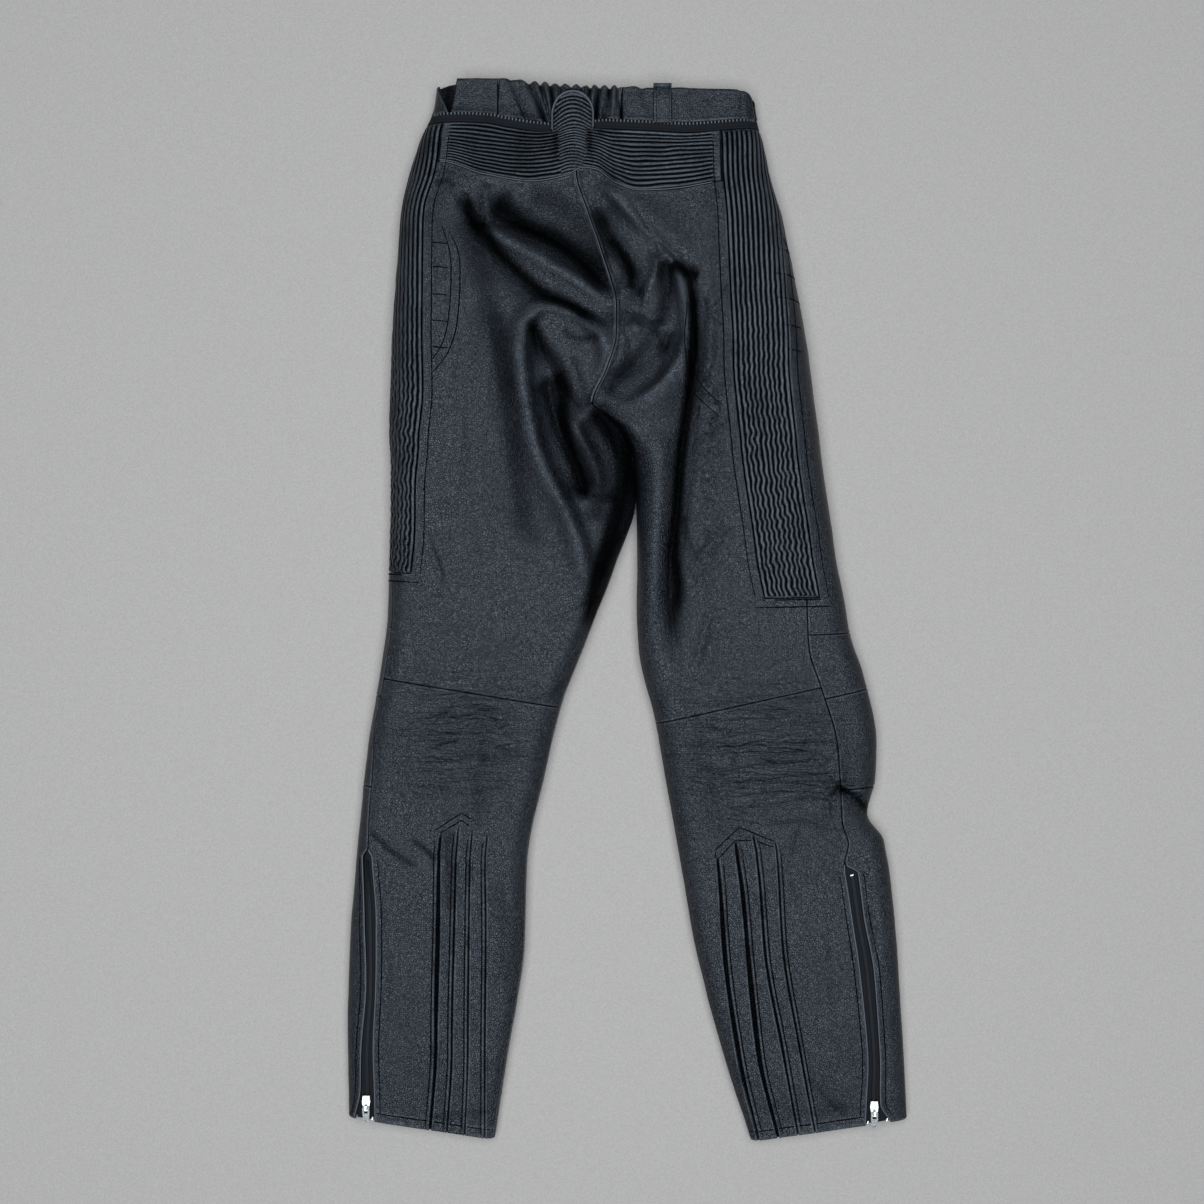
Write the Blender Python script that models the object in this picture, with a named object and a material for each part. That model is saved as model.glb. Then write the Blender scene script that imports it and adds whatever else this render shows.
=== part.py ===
"""Black leather motorcycle trousers, laid flat with the back uppermost.

The tables are in millimetres, and points become metres as they are put in a mesh.
x runs across the garment, from its left side in this view to its right.
A drop is the distance down from the waist edge, and y is up towards the waist.

Each half of the garment is one flattened tube. The tube is made of rows, numbered by their drop at
the middle of the leg. A row runs from the leg's outer side to its inner side over the top, and back
underneath along the floor. A place on a row is its reach: the length of leather from the outer
edge, positive over the top and negative underneath.
"""

import math

import bmesh
import bpy
import numpy as np

# Driving sizes of the whole garment
LENGTH = 1058.0
WALL = 2.0
SEAM_GAP = 0.3
HALF_APART = 0.2
SEAM_TURNS = 4
MM = 0.001

# The stretch panels: shirred leather ribs over elastic
STRETCH_WIDTH = 55.0
STRETCH_RIBS = 10
RIB_RISE = 1.5
RIB_BASE = 1.4
STRETCH_TOP = 50.0
STRETCH_END = {"left": 497.0, "right": 517.0}

# The yoke at the back of the waist
YOKE_TOP = 50.0
YOKE_RIBS = 12
YOKE_GAP = 0.5
TONGUE_X = -54.0
TONGUE_HALF = 17.0
TONGUE_SIDE_DROP = 32.0
TONGUE_LIFT = 3.4

# The waistband and the connecting zip under it
BAND_END = 40.5
ZIP_BAND_END = 49.7
GATHER_LEFT, GATHER_RIGHT = -128.5, -6.5
GATHERS = 12
GATHER_RISE = 1.3

# The knee, calf and hem
BACK_KNEE_ROW = {"left": 610.0, "right": 618.0}
FRONT_KNEE_ROWS = {"left": (556.0, 628.0, 714.0), "right": (556.0, 630.0, 714.0)}
HEM_ROW = {"left": 1045.0, "right": 1047.0}
PLEAT_DEPTH = 1.5
CALF_WALL = 2.4
ZIP_START = {"left": 776.0, "right": 790.0}
INSEAM_WRAP = {"left": 10.0, "right": 3.0}
FLY_WIDTH = 38.0
FLY_LAST_ROW = 9
FRONT_TOP = 96.0

# Outline of each half. Columns: row, outer x, outer drop, inner x, inner drop.
ROWS = {
    "left": (
        (0, -190, 0, -52, 0),
        (19, -192, 19, -52, 19),
        (39, -196, 39, -52, 39),
        (62, -207, 62, -52, 62),
        (97, -219, 97, -51, 97),
        (133, -226, 133, -40, 133),
        (169, -229, 169, -27, 169),
        (229, -233, 229, -11.5, 229),
        (258, -235, 258, -12, 258),
        (290, -236, 290, -21, 290),
        (324, -237, 324, -35, 324),
        (336, -237.5, 336, -21, 336),
        (352, -237.5, 352, -4, 352),
        (379, -236, 379, 4.5, 379),
        (419, -236, 419, 6.5, 419),
        (479, -237.5, 474, -12, 484),
        (539, -239.5, 529, -37, 549),
        (610, -248, 595, -66, 625),
        (679, -260, 666, -82, 692),
        (769, -269.5, 759, -100, 779),
        (859, -277, 849, -103, 869),
        (959, -280, 949, -119, 969),
        (1045, -279, 1034, -132.5, 1056),
    ),
    "right": (
        (0, 126, 0, -52, 0),
        (19, 127, 19, -52, 19),
        (39, 129.5, 39, -52, 39),
        (62, 135, 62, -52, 62),
        (97, 142.5, 97, -51, 97),
        (133, 153, 133, -40, 133),
        (169, 161, 169, -27, 169),
        (229, 173, 229, -11.5, 229),
        (258, 178.5, 258, -12, 258),
        (290, 183, 290, -21, 290),
        (324, 187.5, 324, -35, 324),
        (336, 189, 336, -21, 336),
        (352, 191, 352, -4, 352),
        (379, 194, 379, 5, 379),
        (419, 200, 419, 8.5, 419),
        (479, 208, 474, 9.5, 484),
        (519, 217, 517, 9, 521),
        (560, 223, 554, 11, 566),
        (618, 236, 595, 28, 641),
        (679, 249, 661, 38, 697),
        (706, 248, 694, 42, 719),
        (739, 240, 731, 47, 747),
        (770, 257, 759, 53, 781),
        (859, 268, 847, 69, 871),
        (959, 275, 949, 95, 969),
        (1047, 280, 1036, 123, 1058),
    ),
}

# Build of the flattened tube. Columns: row, height of the top, height of the side edge,
# width of the rounding over the top, width of the rounding underneath.
BUILD = (
    (0, 22, 8, 16, 7),
    (39, 25, 8, 18, 8),
    (97, 31, 9, 22, 9),
    (249, 37, 10, 26, 10),
    (324, 37, 10, 26, 10),
    (419, 34, 10, 26, 10),
    (539, 31, 10, 24, 10),
    (610, 29, 10, 23, 10),
    (769, 26, 9, 22, 9),
    (959, 21, 8, 18, 8),
    (1047, 16, 7, 14, 7),
)

# How far the inner side of each half has closed into a leg. Columns: row, share.
CLOSING = ((0, 0.0), (324, 0.0), (349, 0.45), (379, 0.85), (404, 1.0), (1050, 1.0))

# Where the back panel's outer seam lies on the top, as a distance in from the outer edge.
# Columns: row, distance. The stretch panel lies beyond it down to its end.
STRETCH_SEAM = {
    "left": (
        (50, 17.5),
        (97, 28),
        (131, 25),
        (169, 27),
        (219, 30),
        (269, 33),
        (319, 35),
        (362, 31),
        (410, 26.5),
        (459, 26.5),
        (497, 24),
    ),
    "right": (
        (50, 39.5),
        (97, 48.5),
        (169, 62),
        (249, 74),
        (301, 80),
        (345, 81),
        (413, 81.5),
        (454, 80.6),
        (517, 82),
    ),
}
SIDE_SEAM = {
    "left": ((495, 4), (539, 6), (603, 6), (651, 5), (699, 9), (737, 10), (770, 12)),
    "right": ((515, 40), (554, 44), (584, 47), (612, 46), (659, 44), (699, 40), (749, 42), (784, 45)),
}
# The calf zip's two sides. Columns: row, back side, front side.
ZIP_SIDES = {
    "left": ((782, 17, 8), (847, 26.5, 16), (912, 28.5, 20), (977, 26.5, 15.5), (1015, 27, 14), (1045, 27, 7)),
    "right": ((796, 46, 34), (838, 44, 33), (897, 40, 27), (976, 37, 26), (1026, 41, 28), (1047, 43, 18)),
}

# The lower seam of the yoke. Columns: x, drop.
YOKE_SEAM = (
    (-190, 84),
    (-176, 86),
    (-143, 97),
    (-95, 104),
    (-60, 99),
    (-44, 92),
    (-32, 93),
    (-12, 107),
    (9, 114),
    (44, 112),
    (92, 104),
)
# The top edge of the waistband. Columns: x, drop.
BAND_EDGE = (
    (-196, 12),
    (-188, 5),
    (-169, 0),
    (-127, 0),
    (-97, 4),
    (-47, 8),
    (0, 9),
    (108, 11),
    (120, 14),
    (127, 22),
)

# Rows at which every piece of a leg has points, so that neighbours meet evenly all along a seam
LEG_ROWS = {
    "left": (
        *(324, 336, 349, 379, 404, 430, 462, 497, 526, 556, 583, 610, 628, 657, 686, 714),
        *(745, 763, 772, 782, 830, 890, 960, 1033),
    ),
    "right": (
        *(324, 336, 349, 379, 404, 430, 462, 490, 517, 536, 556, 587, 618, 630, 657, 686, 714),
        *(755, 777, 786, 796, 838, 890, 960, 1035),
    ),
}
LEG_TOP = 324.0
WAIST_SHARES = (0, 0.34, 0.67)
HIP_SHARES = (0, 0.09, 0.2, 0.31, 0.42, 0.54, 0.66, 0.78, 0.9)

# The pleats in the calf, four a leg. Columns: row, then the pleat's distance in from the outer edge.
PLEAT_ROWS = {"left": (770, 860, 960, 1045), "right": (770, 860, 960, 1047)}
PLEATS = {
    "left": ((83, 89, 90, 83), (100, 105, 106, 100), (114, 120, 122, 118), (129, 137, 139, 138)),
    "right": ((165, 169, 160, 148), (148, 154, 143, 130), (130, 135, 124, 111), (110, 117, 102, 91)),
}
PLEAT_WIDTH = {"left": (5.0, 2.6, 2.8, 3.0), "right": (5.5, 5.0, 3.6, 3.2)}
PLEAT_START = {"left": (757, 752, 756, 754), "right": (783, 771, 763, 770)}

# The largest folds. Columns: name, height (a trough is negative), half width, points of x and drop.
FOLDS = (
    ("seat hollow", -9, 21, ((-122, 132), (-67, 160), (-34, 206))),
    ("seat ridge", 6, 12, ((-149, 147), (-92, 192), (-32, 246))),
    ("lower seat hollow", -8, 13, ((-150, 160), (-117, 207), (-70, 230), (-30, 262))),
    ("hook ridge", 6, 9, ((-103, 330), (-105, 268), (-82, 234), (-42, 246), (-19, 272), (-21, 304))),
    ("hook hollow", -8, 12, ((-79, 270), (-54, 296), (-57, 335))),
    ("left thigh ridge", 7, 19, ((-96, 290), (-82, 359), (-57, 439), (-40, 505))),
    ("left thigh trough", -8, 16, ((-135, 215), (-124, 319), (-112, 419), (-92, 499))),
    ("inner thigh trough", -10, 14, ((-54, 325), (-38, 372), (-17, 440))),
    ("left waist dart", -6, 8, ((-139, 108), (-142, 160))),
    ("right seat ridge", 9, 14, ((-27, 116), (13, 164), (38, 209), (43, 254), (24, 304), (2, 338))),
    ("right seat trough", -7, 10, ((14, 128), (49, 189), (63, 259), (58, 339), (43, 439), (41, 539))),
    ("centre hollow", -9, 13, ((-8, 166), (13, 219), (12, 268))),
    ("right thigh ridge", 5, 15, ((30, 359), (25, 439), (27, 519))),
    ("left calf trough", -4, 7, ((-140, 619), (-144, 679), (-143, 739))),
    ("knee fold", -7, 6, ((200, 702), (241, 729))),
    ("yoke hump", 6, 24, ((-54, 22), (-54, 88))),
)
LOWEST_TOP = 13.0

# The zip pull: slider, bail and tab
SLIDER_ROW = {"left": 1026.0, "right": 1030.0}
SLIDER_SIZE = (8.0, 15.0, 3.0)
BAIL_WIDTH, BAIL_INSIDE, BAIL_LONG, BAIL_THICK = 2.2, 2.6, 7.0, 1.0
TAB_SIZE = (7.0, 17.0, 1.2)
TAB_BAR = 1.3
TAB_SLOT = (3.6, 5.6)
EYE_RADIUS = 1.3
TAB_TILT = math.radians(9.0)

LEATHER = ("leather", (0.030, 0.033, 0.038, 1), 0.42, 0.0)
BAND = ("waistband_leather", (0.036, 0.042, 0.050, 1), 0.5, 0.0)
TAPE = ("zip_tape", (0.012, 0.012, 0.014, 1), 0.85, 0.0)
STEEL = ("zip_steel", (0.62, 0.62, 0.60, 1), 0.28, 1.0)


def through(place, table, column):
    """A smooth curve through a table's column: cubic pieces whose slopes never overshoot."""
    table = np.asarray(table, float)
    knots, values = table[:, 0], table[:, column]
    step = np.diff(knots)
    rise = np.diff(values) / step
    slope = np.concatenate([rise[:1], np.zeros(len(rise) - 1), rise[-1:]])
    turning = rise[:-1] * rise[1:] > 0
    slope[1:-1][turning] = (2 * rise[:-1] * rise[1:] / (rise[:-1] + rise[1:] + 1e-12))[turning]
    place = np.clip(place, knots[0], knots[-1])
    k = np.clip(np.searchsorted(knots, place, side="right") - 1, 0, len(step) - 1)
    f = (place - knots[k]) / step[k]
    before = (1 + 2 * f) * (1 - f) ** 2 * values[k] + f * (1 - f) ** 2 * step[k] * slope[k]
    after = f * f * (3 - 2 * f) * values[k + 1] + f * f * (f - 1) * step[k] * slope[k + 1]
    return before + after


def ease(value, start, end):
    """0 before start, 1 after end, and smooth between."""
    f = np.clip((value - start) / (end - start), 0, 1)
    return f * f * (3 - 2 * f)


def path_points(points, count=18):
    """Points along a smooth line through a few points."""
    points = np.asarray(points, float)
    along = np.concatenate([[0], np.cumsum(np.linalg.norm(np.diff(points, axis=0), axis=1))])
    table = np.column_stack([along, points])
    place = np.linspace(0, along[-1], count)
    return np.column_stack([through(place, table, 1), through(place, table, 2)])


def fold_height(x, drop):
    """Sum of the folds: each is a bell across its own line."""
    total = np.zeros_like(x, float)
    for _, height, half_width, points in FOLDS:
        line = path_points(points)
        nearest = np.full(x.shape, 1e9)
        for a, b in zip(line[:-1], line[1:]):
            along = b - a
            f = np.clip(((x - a[0]) * along[0] + (drop - a[1]) * along[1]) / (along @ along), 0, 1)
            away = (x - a[0] - f * along[0]) ** 2 + (drop - a[1] - f * along[1]) ** 2
            nearest = np.minimum(nearest, away)
        total += height * np.exp(-nearest / half_width**2)
    return total


class Row:
    """The sizes of the rows of one half, for an array of row numbers."""

    def __init__(self, half, row):
        table = ROWS[half]
        self.outer = np.stack([through(row, table, 1), through(row, table, 2)], -1)
        self.inner = np.stack([through(row, table, 3), through(row, table, 4)], -1)
        self.inner[..., 0] += HALF_APART if half == "right" else -HALF_APART
        self.width = np.linalg.norm(self.inner - self.outer, axis=-1)
        self.across = (self.inner - self.outer) / self.width[..., None]
        self.top, self.edge, self.round, self.under = (through(row, BUILD, k) for k in (1, 2, 3, 4))
        self.closed = through(row, CLOSING, 1)
        self.inner_round, self.inner_under = self.round * self.closed + 1e-6, self.under * self.closed + 1e-6
        bends = (math.pi / 2 - 1) * (self.round + self.inner_round)
        self.over = self.width + bends
        self.beneath = self.width + (math.pi / 2 - 1) * (self.under + self.inner_under)


def reach_of(half, row, distance):
    """The reach of a place on the top that lies a plain distance in from the outer edge."""
    r = Row(half, row)
    near = r.round * np.arccos(np.clip(1 - distance / r.round, -1, 1))
    far = r.over - r.inner_round * np.arccos(np.clip(1 - (r.width - distance) / r.inner_round, -1, 1))
    middle = r.round * (math.pi / 2 - 1) + distance
    return np.where(distance < r.round, near, np.where(r.width - distance < r.inner_round, far, middle))


def quarter(length, radius):
    """The angle that a length of leather takes round a rounded side, up to a quarter turn."""
    return np.clip(length / radius, 0, math.pi / 2)


def place(half, row, reach, inset):
    """Points of the tube in millimetres: a quarter ellipse at each side, folds on the top and a flat
    underside. The inset moves a point into the wall."""
    r = Row(half, row)
    reach = np.where(reach < -r.beneath, reach + r.over + r.beneath, reach)
    on_top = reach >= 0

    a, b = quarter(reach, r.round), quarter(r.over - reach, r.inner_round)
    middle = reach - r.round * (math.pi / 2 - 1)
    inward = np.where(a < math.pi / 2, r.round * (1 - np.cos(a)), middle)
    inward = np.where(b < math.pi / 2, r.width - r.inner_round * (1 - np.cos(b)), inward)
    flat = r.outer + r.across * inward[..., None]
    lift = np.sin(a) * (1 - r.closed * (1 - np.sin(b)))
    high = np.maximum(r.top + fold_height(flat[..., 0], flat[..., 1]), LOWEST_TOP)
    top_z = r.edge + (high - r.edge) * lift
    side = r.closed * np.cos(b) - np.cos(a)

    below = -reach
    c, d = quarter(below, r.under), quarter(r.beneath - below, r.inner_under)
    under_in = np.where(c < math.pi / 2, r.under * (1 - np.cos(c)), below - r.under * (math.pi / 2 - 1))
    under_in = np.where(d < math.pi / 2, r.width - r.inner_under * (1 - np.cos(d)), under_in)
    under_z = r.edge * (1 - np.sin(c)) + r.closed * r.edge * (1 - np.sin(d))
    under_side = r.closed * np.cos(d) - np.cos(c)

    side = np.where(on_top, side, under_side)
    up = np.sqrt(np.clip(1 - side**2, 0, 1)) * np.where(on_top, 1, -1)
    inward = np.where(on_top, inward, under_in) - inset * side
    z = np.where(on_top, top_z, under_z) - inset * up
    spot = r.outer + r.across * inward[..., None]
    return np.stack([spot[..., 0], LENGTH / 2 - spot[..., 1], z], -1)


def on_back(x, drop, inset):
    """Points over the back of the hips, where rows lie straight across, from x and drop."""
    x, drop = np.broadcast_arrays(np.asarray(x, float), np.asarray(drop, float))
    centre = through(drop, ROWS["left"], 3)
    found = np.zeros((*x.shape, 3))
    for half, here in (("left", x <= centre), ("right", x > centre)):
        distance = np.abs(x - through(drop, ROWS[half], 1))
        points = place(half, drop, reach_of(half, drop, distance), inset)
        found[here] = points[here]
    return found


def material(finish):
    """A Principled material with the finish's colour, roughness and metallic value."""
    name, colour, roughness, metallic = finish
    made = bpy.data.materials.get(name) or bpy.data.materials.new(name)
    made.use_nodes = True
    shader = made.node_tree.nodes["Principled BSDF"]
    shader.inputs["Base Color"].default_value = colour
    shader.inputs["Roughness"].default_value = roughness
    shader.inputs["Metallic"].default_value = metallic
    return made


def add_mesh(name, points, faces, finish):
    """One closed object from points in millimetres, with its faces turned outwards."""
    mesh = bpy.data.meshes.new(name)
    mesh.from_pydata((np.asarray(points) * MM).tolist(), [], faces)
    work = bmesh.new()
    work.from_mesh(mesh)
    bmesh.ops.delete(work, geom=[v for v in work.verts if not v.link_faces], context="VERTS")
    bmesh.ops.recalc_face_normals(work, faces=work.faces)
    if work.calc_volume(signed=True) < 0:
        bmesh.ops.reverse_faces(work, faces=work.faces)
    work.to_mesh(mesh)
    work.free()
    made = bpy.data.objects.new(name, mesh)
    mesh.materials.append(material(finish))
    bpy.context.scene.collection.objects.link(made)
    return made


def wall(name, outside, inside, finish, keep=None):
    """A closed wall between two grids of points. keep marks the cells that the piece is cut to."""
    rows, columns = outside.shape[:2]
    keep = np.ones((rows - 1, columns - 1), bool) if keep is None else keep
    count = rows * columns
    faces, rim = [], {}
    for r, c in zip(*np.nonzero(keep)):
        corner = [r * columns + c, r * columns + c + 1, (r + 1) * columns + c + 1, (r + 1) * columns + c]
        faces.append(corner)
        faces.append([count + k for k in reversed(corner)])
        for a, b in zip(corner, corner[1:] + corner[:1]):
            if rim.pop((b, a), None) is None:
                rim[a, b] = True
    faces += [[b, a, count + a, count + b] for a, b in rim]
    points = np.concatenate([outside.reshape(-1, 3), inside.reshape(-1, 3)])
    return add_mesh(name, points, [[int(k) for k in face] for face in faces], finish)


def leather(name, half, row, reach, finish=LEATHER, rise=0.0, thickness=WALL, keep=None, recess=0.0):
    """A piece of one half, from grids of rows and reaches. Its outside is raised, its inside plain."""
    outside = place(half, row, reach, recess - rise)
    inside = place(half, row, reach, recess + thickness + 0 * row)
    return wall(name, outside, inside, finish, keep)


def back_leather(name, x, drop, finish, rise=0.0, thickness=WALL, keep=None):
    """A piece across both halves of the back, from grids of x and drop."""
    outside = on_back(x, drop, -rise)
    inside = on_back(x, drop, thickness + 0 * x)
    return wall(name, outside, inside, finish, keep)


def seam_reach(half, row, table):
    return reach_of(half, row, through(row, table, 1))


def leg_rows(half, start, end):
    """The shared rows between two rows, with those two at the ends."""
    return np.array([start] + [row for row in LEG_ROWS[half] if start + 2 < row < end - 2] + [end])


def yoke_drop(half):
    """Drop of the yoke's lower seam where it meets the stretch panel."""
    drop = np.array(FRONT_TOP)
    for _ in range(SEAM_TURNS):
        x = place(half, drop, seam_reach(half, drop, STRETCH_SEAM[half]), 0.0)[0]
        drop = through(x, YOKE_SEAM, 1) + YOKE_GAP
    return float(drop)


def upper_rows(top):
    """Rows from the stretch panel's top to the first leg row, where the yoke ends at the drop top."""
    top = np.asarray(top, float)
    waist = [STRETCH_TOP + (top - STRETCH_TOP) * share for share in WAIST_SHARES]
    return np.stack(waist + [top + (LEG_TOP - top) * share for share in HIP_SHARES])


def zigzag(phase):
    """Ribs as a folded line: 0 in the stitched valleys and 1 on the crests."""
    return 1 - np.abs(2 * (phase % 1) - 1)


def stretch_panel(half):
    """The side panel with its lengthwise ribs, from the waist to the thigh."""
    start, end = STRETCH_TOP + SEAM_GAP / 2, STRETCH_END[half] - SEAM_GAP
    rows = np.concatenate([[start], upper_rows(yoke_drop(half))[1:], leg_rows(half, LEG_TOP, end)])
    row = rows[:, None] + np.zeros(2 * STRETCH_RIBS + 1)
    inner = seam_reach(half, row, STRETCH_SEAM[half]) - SEAM_GAP / 2
    across = np.linspace(0, 1, 2 * STRETCH_RIBS + 1)[None, :]
    reach = inner - (1 - across) * (STRETCH_WIDTH - SEAM_GAP)
    rise = RIB_RISE * zigzag(across * STRETCH_RIBS) + np.zeros_like(row)
    rise[[0, -1]] *= 0.5
    rise = (rise - RIB_RISE / 2) * ease(reach, -10, 4)
    return leather(f"stretch_panel_{half}", half, row, reach, rise=rise, thickness=RIB_BASE)


def inner_seam(half, row):
    """Reach of the inseam on the top, where the back panel ends."""
    wrap = INSEAM_WRAP[half] * ease(row, 404, 470)
    return Row(half, row).over - wrap


def back_panel(half):
    """Seat and back thigh in one piece, with a notch where the stretch panel ends."""
    notch = STRETCH_END[half]
    knee = BACK_KNEE_ROW[half] - SEAM_GAP / 2
    hip = upper_rows(yoke_drop(half))[len(WAIST_SHARES) :]
    rows = np.concatenate([hip, leg_rows(half, LEG_TOP, knee)])
    strip = np.array([0, 0.5])
    body = np.array([0, 0.08, 0.17, 0.26, 0.35, 0.44, 0.53, 0.62, 0.71, 0.79, 0.86, 0.91, 0.96, 1])
    row = rows[:, None] + np.zeros(len(strip) + len(body))
    for _ in range(SEAM_TURNS):
        stretch = seam_reach(half, row, STRETCH_SEAM[half]) + SEAM_GAP / 2
        side = seam_reach(half, row, SIDE_SEAM[half]) + SEAM_GAP / 2
        middle = seam_reach(half, np.full_like(row, notch), STRETCH_SEAM[half]) + SEAM_GAP / 2
        inner = inner_seam(half, row) - SEAM_GAP / 2
        corner = np.where(row <= notch, stretch, np.maximum(middle, side + 8))
        strip_reach = side[:, :2] + (corner[:, :2] - side[:, :2]) * strip
        reach = np.concatenate([strip_reach, corner[:, 2:] + (inner[:, 2:] - corner[:, 2:]) * body], 1)
        top = through(place(half, row[:1], reach[:1], 0.0)[..., 0], YOKE_SEAM, 1) + YOKE_GAP
        row[: len(hip)] = upper_rows(top[0])[len(WAIST_SHARES) :]
    keep = np.ones((len(rows) - 1, row.shape[1] - 1), bool)
    keep[: np.searchsorted(rows, notch), :2] = False
    return leather(f"back_leg_{half}", half, row, reach, keep=keep)


def pleat_marks(half, row):
    """Distances of the pleats' edges and floors, and the depth there, on each row."""
    marks, depths = [], []
    for table, width, start in zip(PLEATS[half], PLEAT_WIDTH[half], PLEAT_START[half]):
        line = through(row, list(zip(PLEAT_ROWS[half], table)), 1)
        depth = PLEAT_DEPTH * ease(row, start - 6, start + 6)
        for share, deep in ((-0.5, 0), (-0.22, 1), (0.22, 1), (0.5, 0)):
            marks.append(line + share * width)
            depths.append(depth * deep)
    order = np.argsort([m[0] for m in marks])
    return [marks[k] for k in order], [depths[k] for k in order]


def back_seam(half, row):
    """Reach of the back calf panel's outer seam: the side seam, then the zip's back side."""
    side = seam_reach(half, row, SIDE_SEAM[half])
    zip_side = reach_of(half, row, through(row, ZIP_SIDES[half], 1))
    return side + (zip_side - side) * ease(row, ZIP_START[half] - 4, ZIP_START[half] + 6)


def front_seam(half, row):
    """Reach of the front panels' outer seam: the side seam, then the zip's front side."""
    side = seam_reach(half, row, SIDE_SEAM[half])
    zip_side = reach_of(half, row, through(row, ZIP_SIDES[half], 2))
    return side + (zip_side - side) * ease(row, ZIP_START[half] - 4, ZIP_START[half] + 6)


def calf_panel(half):
    """Back of the lower leg, with four pleats let into it."""
    knee, hem = BACK_KNEE_ROW[half] + SEAM_GAP / 2, HEM_ROW[half]
    rows = leg_rows(half, knee, hem)
    marks, depths = pleat_marks(half, rows)
    outer = back_seam(half, rows) + SEAM_GAP / 2
    first, last = (reach_of(half, rows, m) for m in (marks[0], marks[-1]))
    inner = inner_seam(half, rows) - SEAM_GAP / 2
    columns = [outer + (first - outer) * f for f in (0, 0.33, 0.67)]
    columns += [reach_of(half, rows, m) for m in marks]
    columns += [last + (inner - last) * f for f in (0.35, 0.65, 0.85, 1)]
    rise = [0 * rows] * 3 + [-d for d in depths] + [0 * rows] * 4
    reach, rise = np.stack(columns, 1), np.stack(rise, 1)
    row = rows[:, None] + np.zeros_like(reach)
    return leather(f"calf_{half}", half, row, reach, rise=rise, thickness=CALF_WALL)


def front_columns(half):
    """Segments from the outer seam to the outer edge, round it, along the floor, and round inwards."""
    return (5 if half == "right" else 2, 3, 2, 3, 2)


def front_reaches(half, row, outer):
    """Columns of a front panel, from its outer seam, under the leg and round to the inseam."""
    r = Row(half, row)
    wrap = ease(row, 404, 470)
    arc = math.pi / 2 * r.under
    seam = -r.beneath - wrap * INSEAM_WRAP[half] + SEAM_GAP / 2
    start = outer - SEAM_GAP / 2
    over = np.minimum(start - 0.5, np.where(start > 2, 0, start - 1))
    round_end = np.minimum(over - 1, -arc)
    inner_edge = np.maximum(seam + 1.5, -r.beneath + (1 - wrap) * 6)
    inner_start = np.maximum(np.maximum(seam + 4, arc - r.beneath), inner_edge + 3)
    if half == "left":
        beside_fly = (row < LEG_TOP) & (np.arange(len(row))[:, None] <= FLY_LAST_ROW)
        inner_start = np.where(beside_fly, seam + FLY_WIDTH, inner_start)
    keys = np.stack([start, over, round_end, inner_start, inner_edge, seam])
    found = []
    for k, count in enumerate(front_columns(half)):
        for step in range(count):
            j, share = len(found), step / count
            found.append(keys[k, :, j] * (1 - share) + keys[k + 1, :, j] * share)
    return np.stack(found + [seam[:, -1]], 1)


def front_thigh(half):
    """Front of the upper leg, from the waistband to the knee. It runs up beside the stretch panel."""
    notch = STRETCH_END[half]
    side_top, count, inner_start = yoke_drop(half), sum(front_columns(half)) + 1, sum(front_columns(half)[:3])
    top = side_top + (FRONT_TOP - side_top) * np.minimum(np.arange(count) / inner_start, 1)
    first = np.full((1, count), BAND_END + SEAM_GAP)
    lower = leg_rows(half, LEG_TOP, FRONT_KNEE_ROWS[half][0] - SEAM_GAP / 2)[:, None] + np.zeros(count)
    row = np.concatenate([first, upper_rows(top), lower])
    stretch = seam_reach(half, row, STRETCH_SEAM[half]) - STRETCH_WIDTH
    corner = seam_reach(half, np.full_like(row, notch), STRETCH_SEAM[half]) - STRETCH_WIDTH
    body = front_reaches(half, row, np.where(row <= notch, stretch, corner))
    side = seam_reach(half, row[:, 0], SIDE_SEAM[half]) - SEAM_GAP / 2
    reach = np.concatenate([np.stack([side, (side + body[:, 0]) / 2], 1), body], 1)
    row = np.concatenate([row[:, :1], row[:, :1], row], 1)
    keep = np.ones((len(row) - 1, reach.shape[1] - 1), bool)
    keep[row[:-1, 0] < notch, :2] = False
    if half == "left":
        keep[:FLY_LAST_ROW, 2 + inner_start :] = False
    return leather(f"front_thigh_{half}", half, row, reach, keep=keep)


def fly_flap():
    """Plain flap along the centre front, flush with the left front panel."""
    rows = np.concatenate([[BAND_END + SEAM_GAP], upper_rows(FRONT_TOP)])[: FLY_LAST_ROW + 1]
    rows[-1] -= SEAM_GAP
    edge = SEAM_GAP / 2 - Row("left", rows).beneath
    reach = np.stack([edge + FLY_WIDTH - SEAM_GAP, edge + FLY_WIDTH / 2, edge], 1)
    return leather("fly_flap", "left", rows[:, None] + np.zeros_like(reach), reach)


def front_lower(name, half, start, end):
    """A knee or shin piece between two rows, right round the front of the leg."""
    rows = leg_rows(half, start + SEAM_GAP / 2, end)
    row = rows[:, None] + np.zeros(sum(front_columns(half)) + 1)
    return leather(f"{name}_{half}", half, row, front_reaches(half, row, front_seam(half, row)))


def calf_zip(half):
    """The zip's tape, sunk a little between the panels, with its chain raised along the middle."""
    start, end = ZIP_START[half] + 7, HEM_ROW[half] - 2
    rows = leg_rows(half, start, end)
    back = back_seam(half, rows) - SEAM_GAP / 2
    front = front_seam(half, rows) + SEAM_GAP / 2
    middle, chain = (back + front) / 2, np.minimum(2.4, (back - front) * 0.25)
    columns = [front, middle - chain - 0.3, middle - chain, middle + chain, middle + chain + 0.3, back]
    rise = np.array([0, 0, 1.0, 1.0, 0, 0]) + np.zeros((len(rows), 1))
    reach = np.stack(columns, 1)
    row = rows[:, None] + np.zeros_like(reach)
    return leather(f"calf_zip_{half}", half, row, reach, TAPE, rise=rise, thickness=1.2, recess=0.6)


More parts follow.
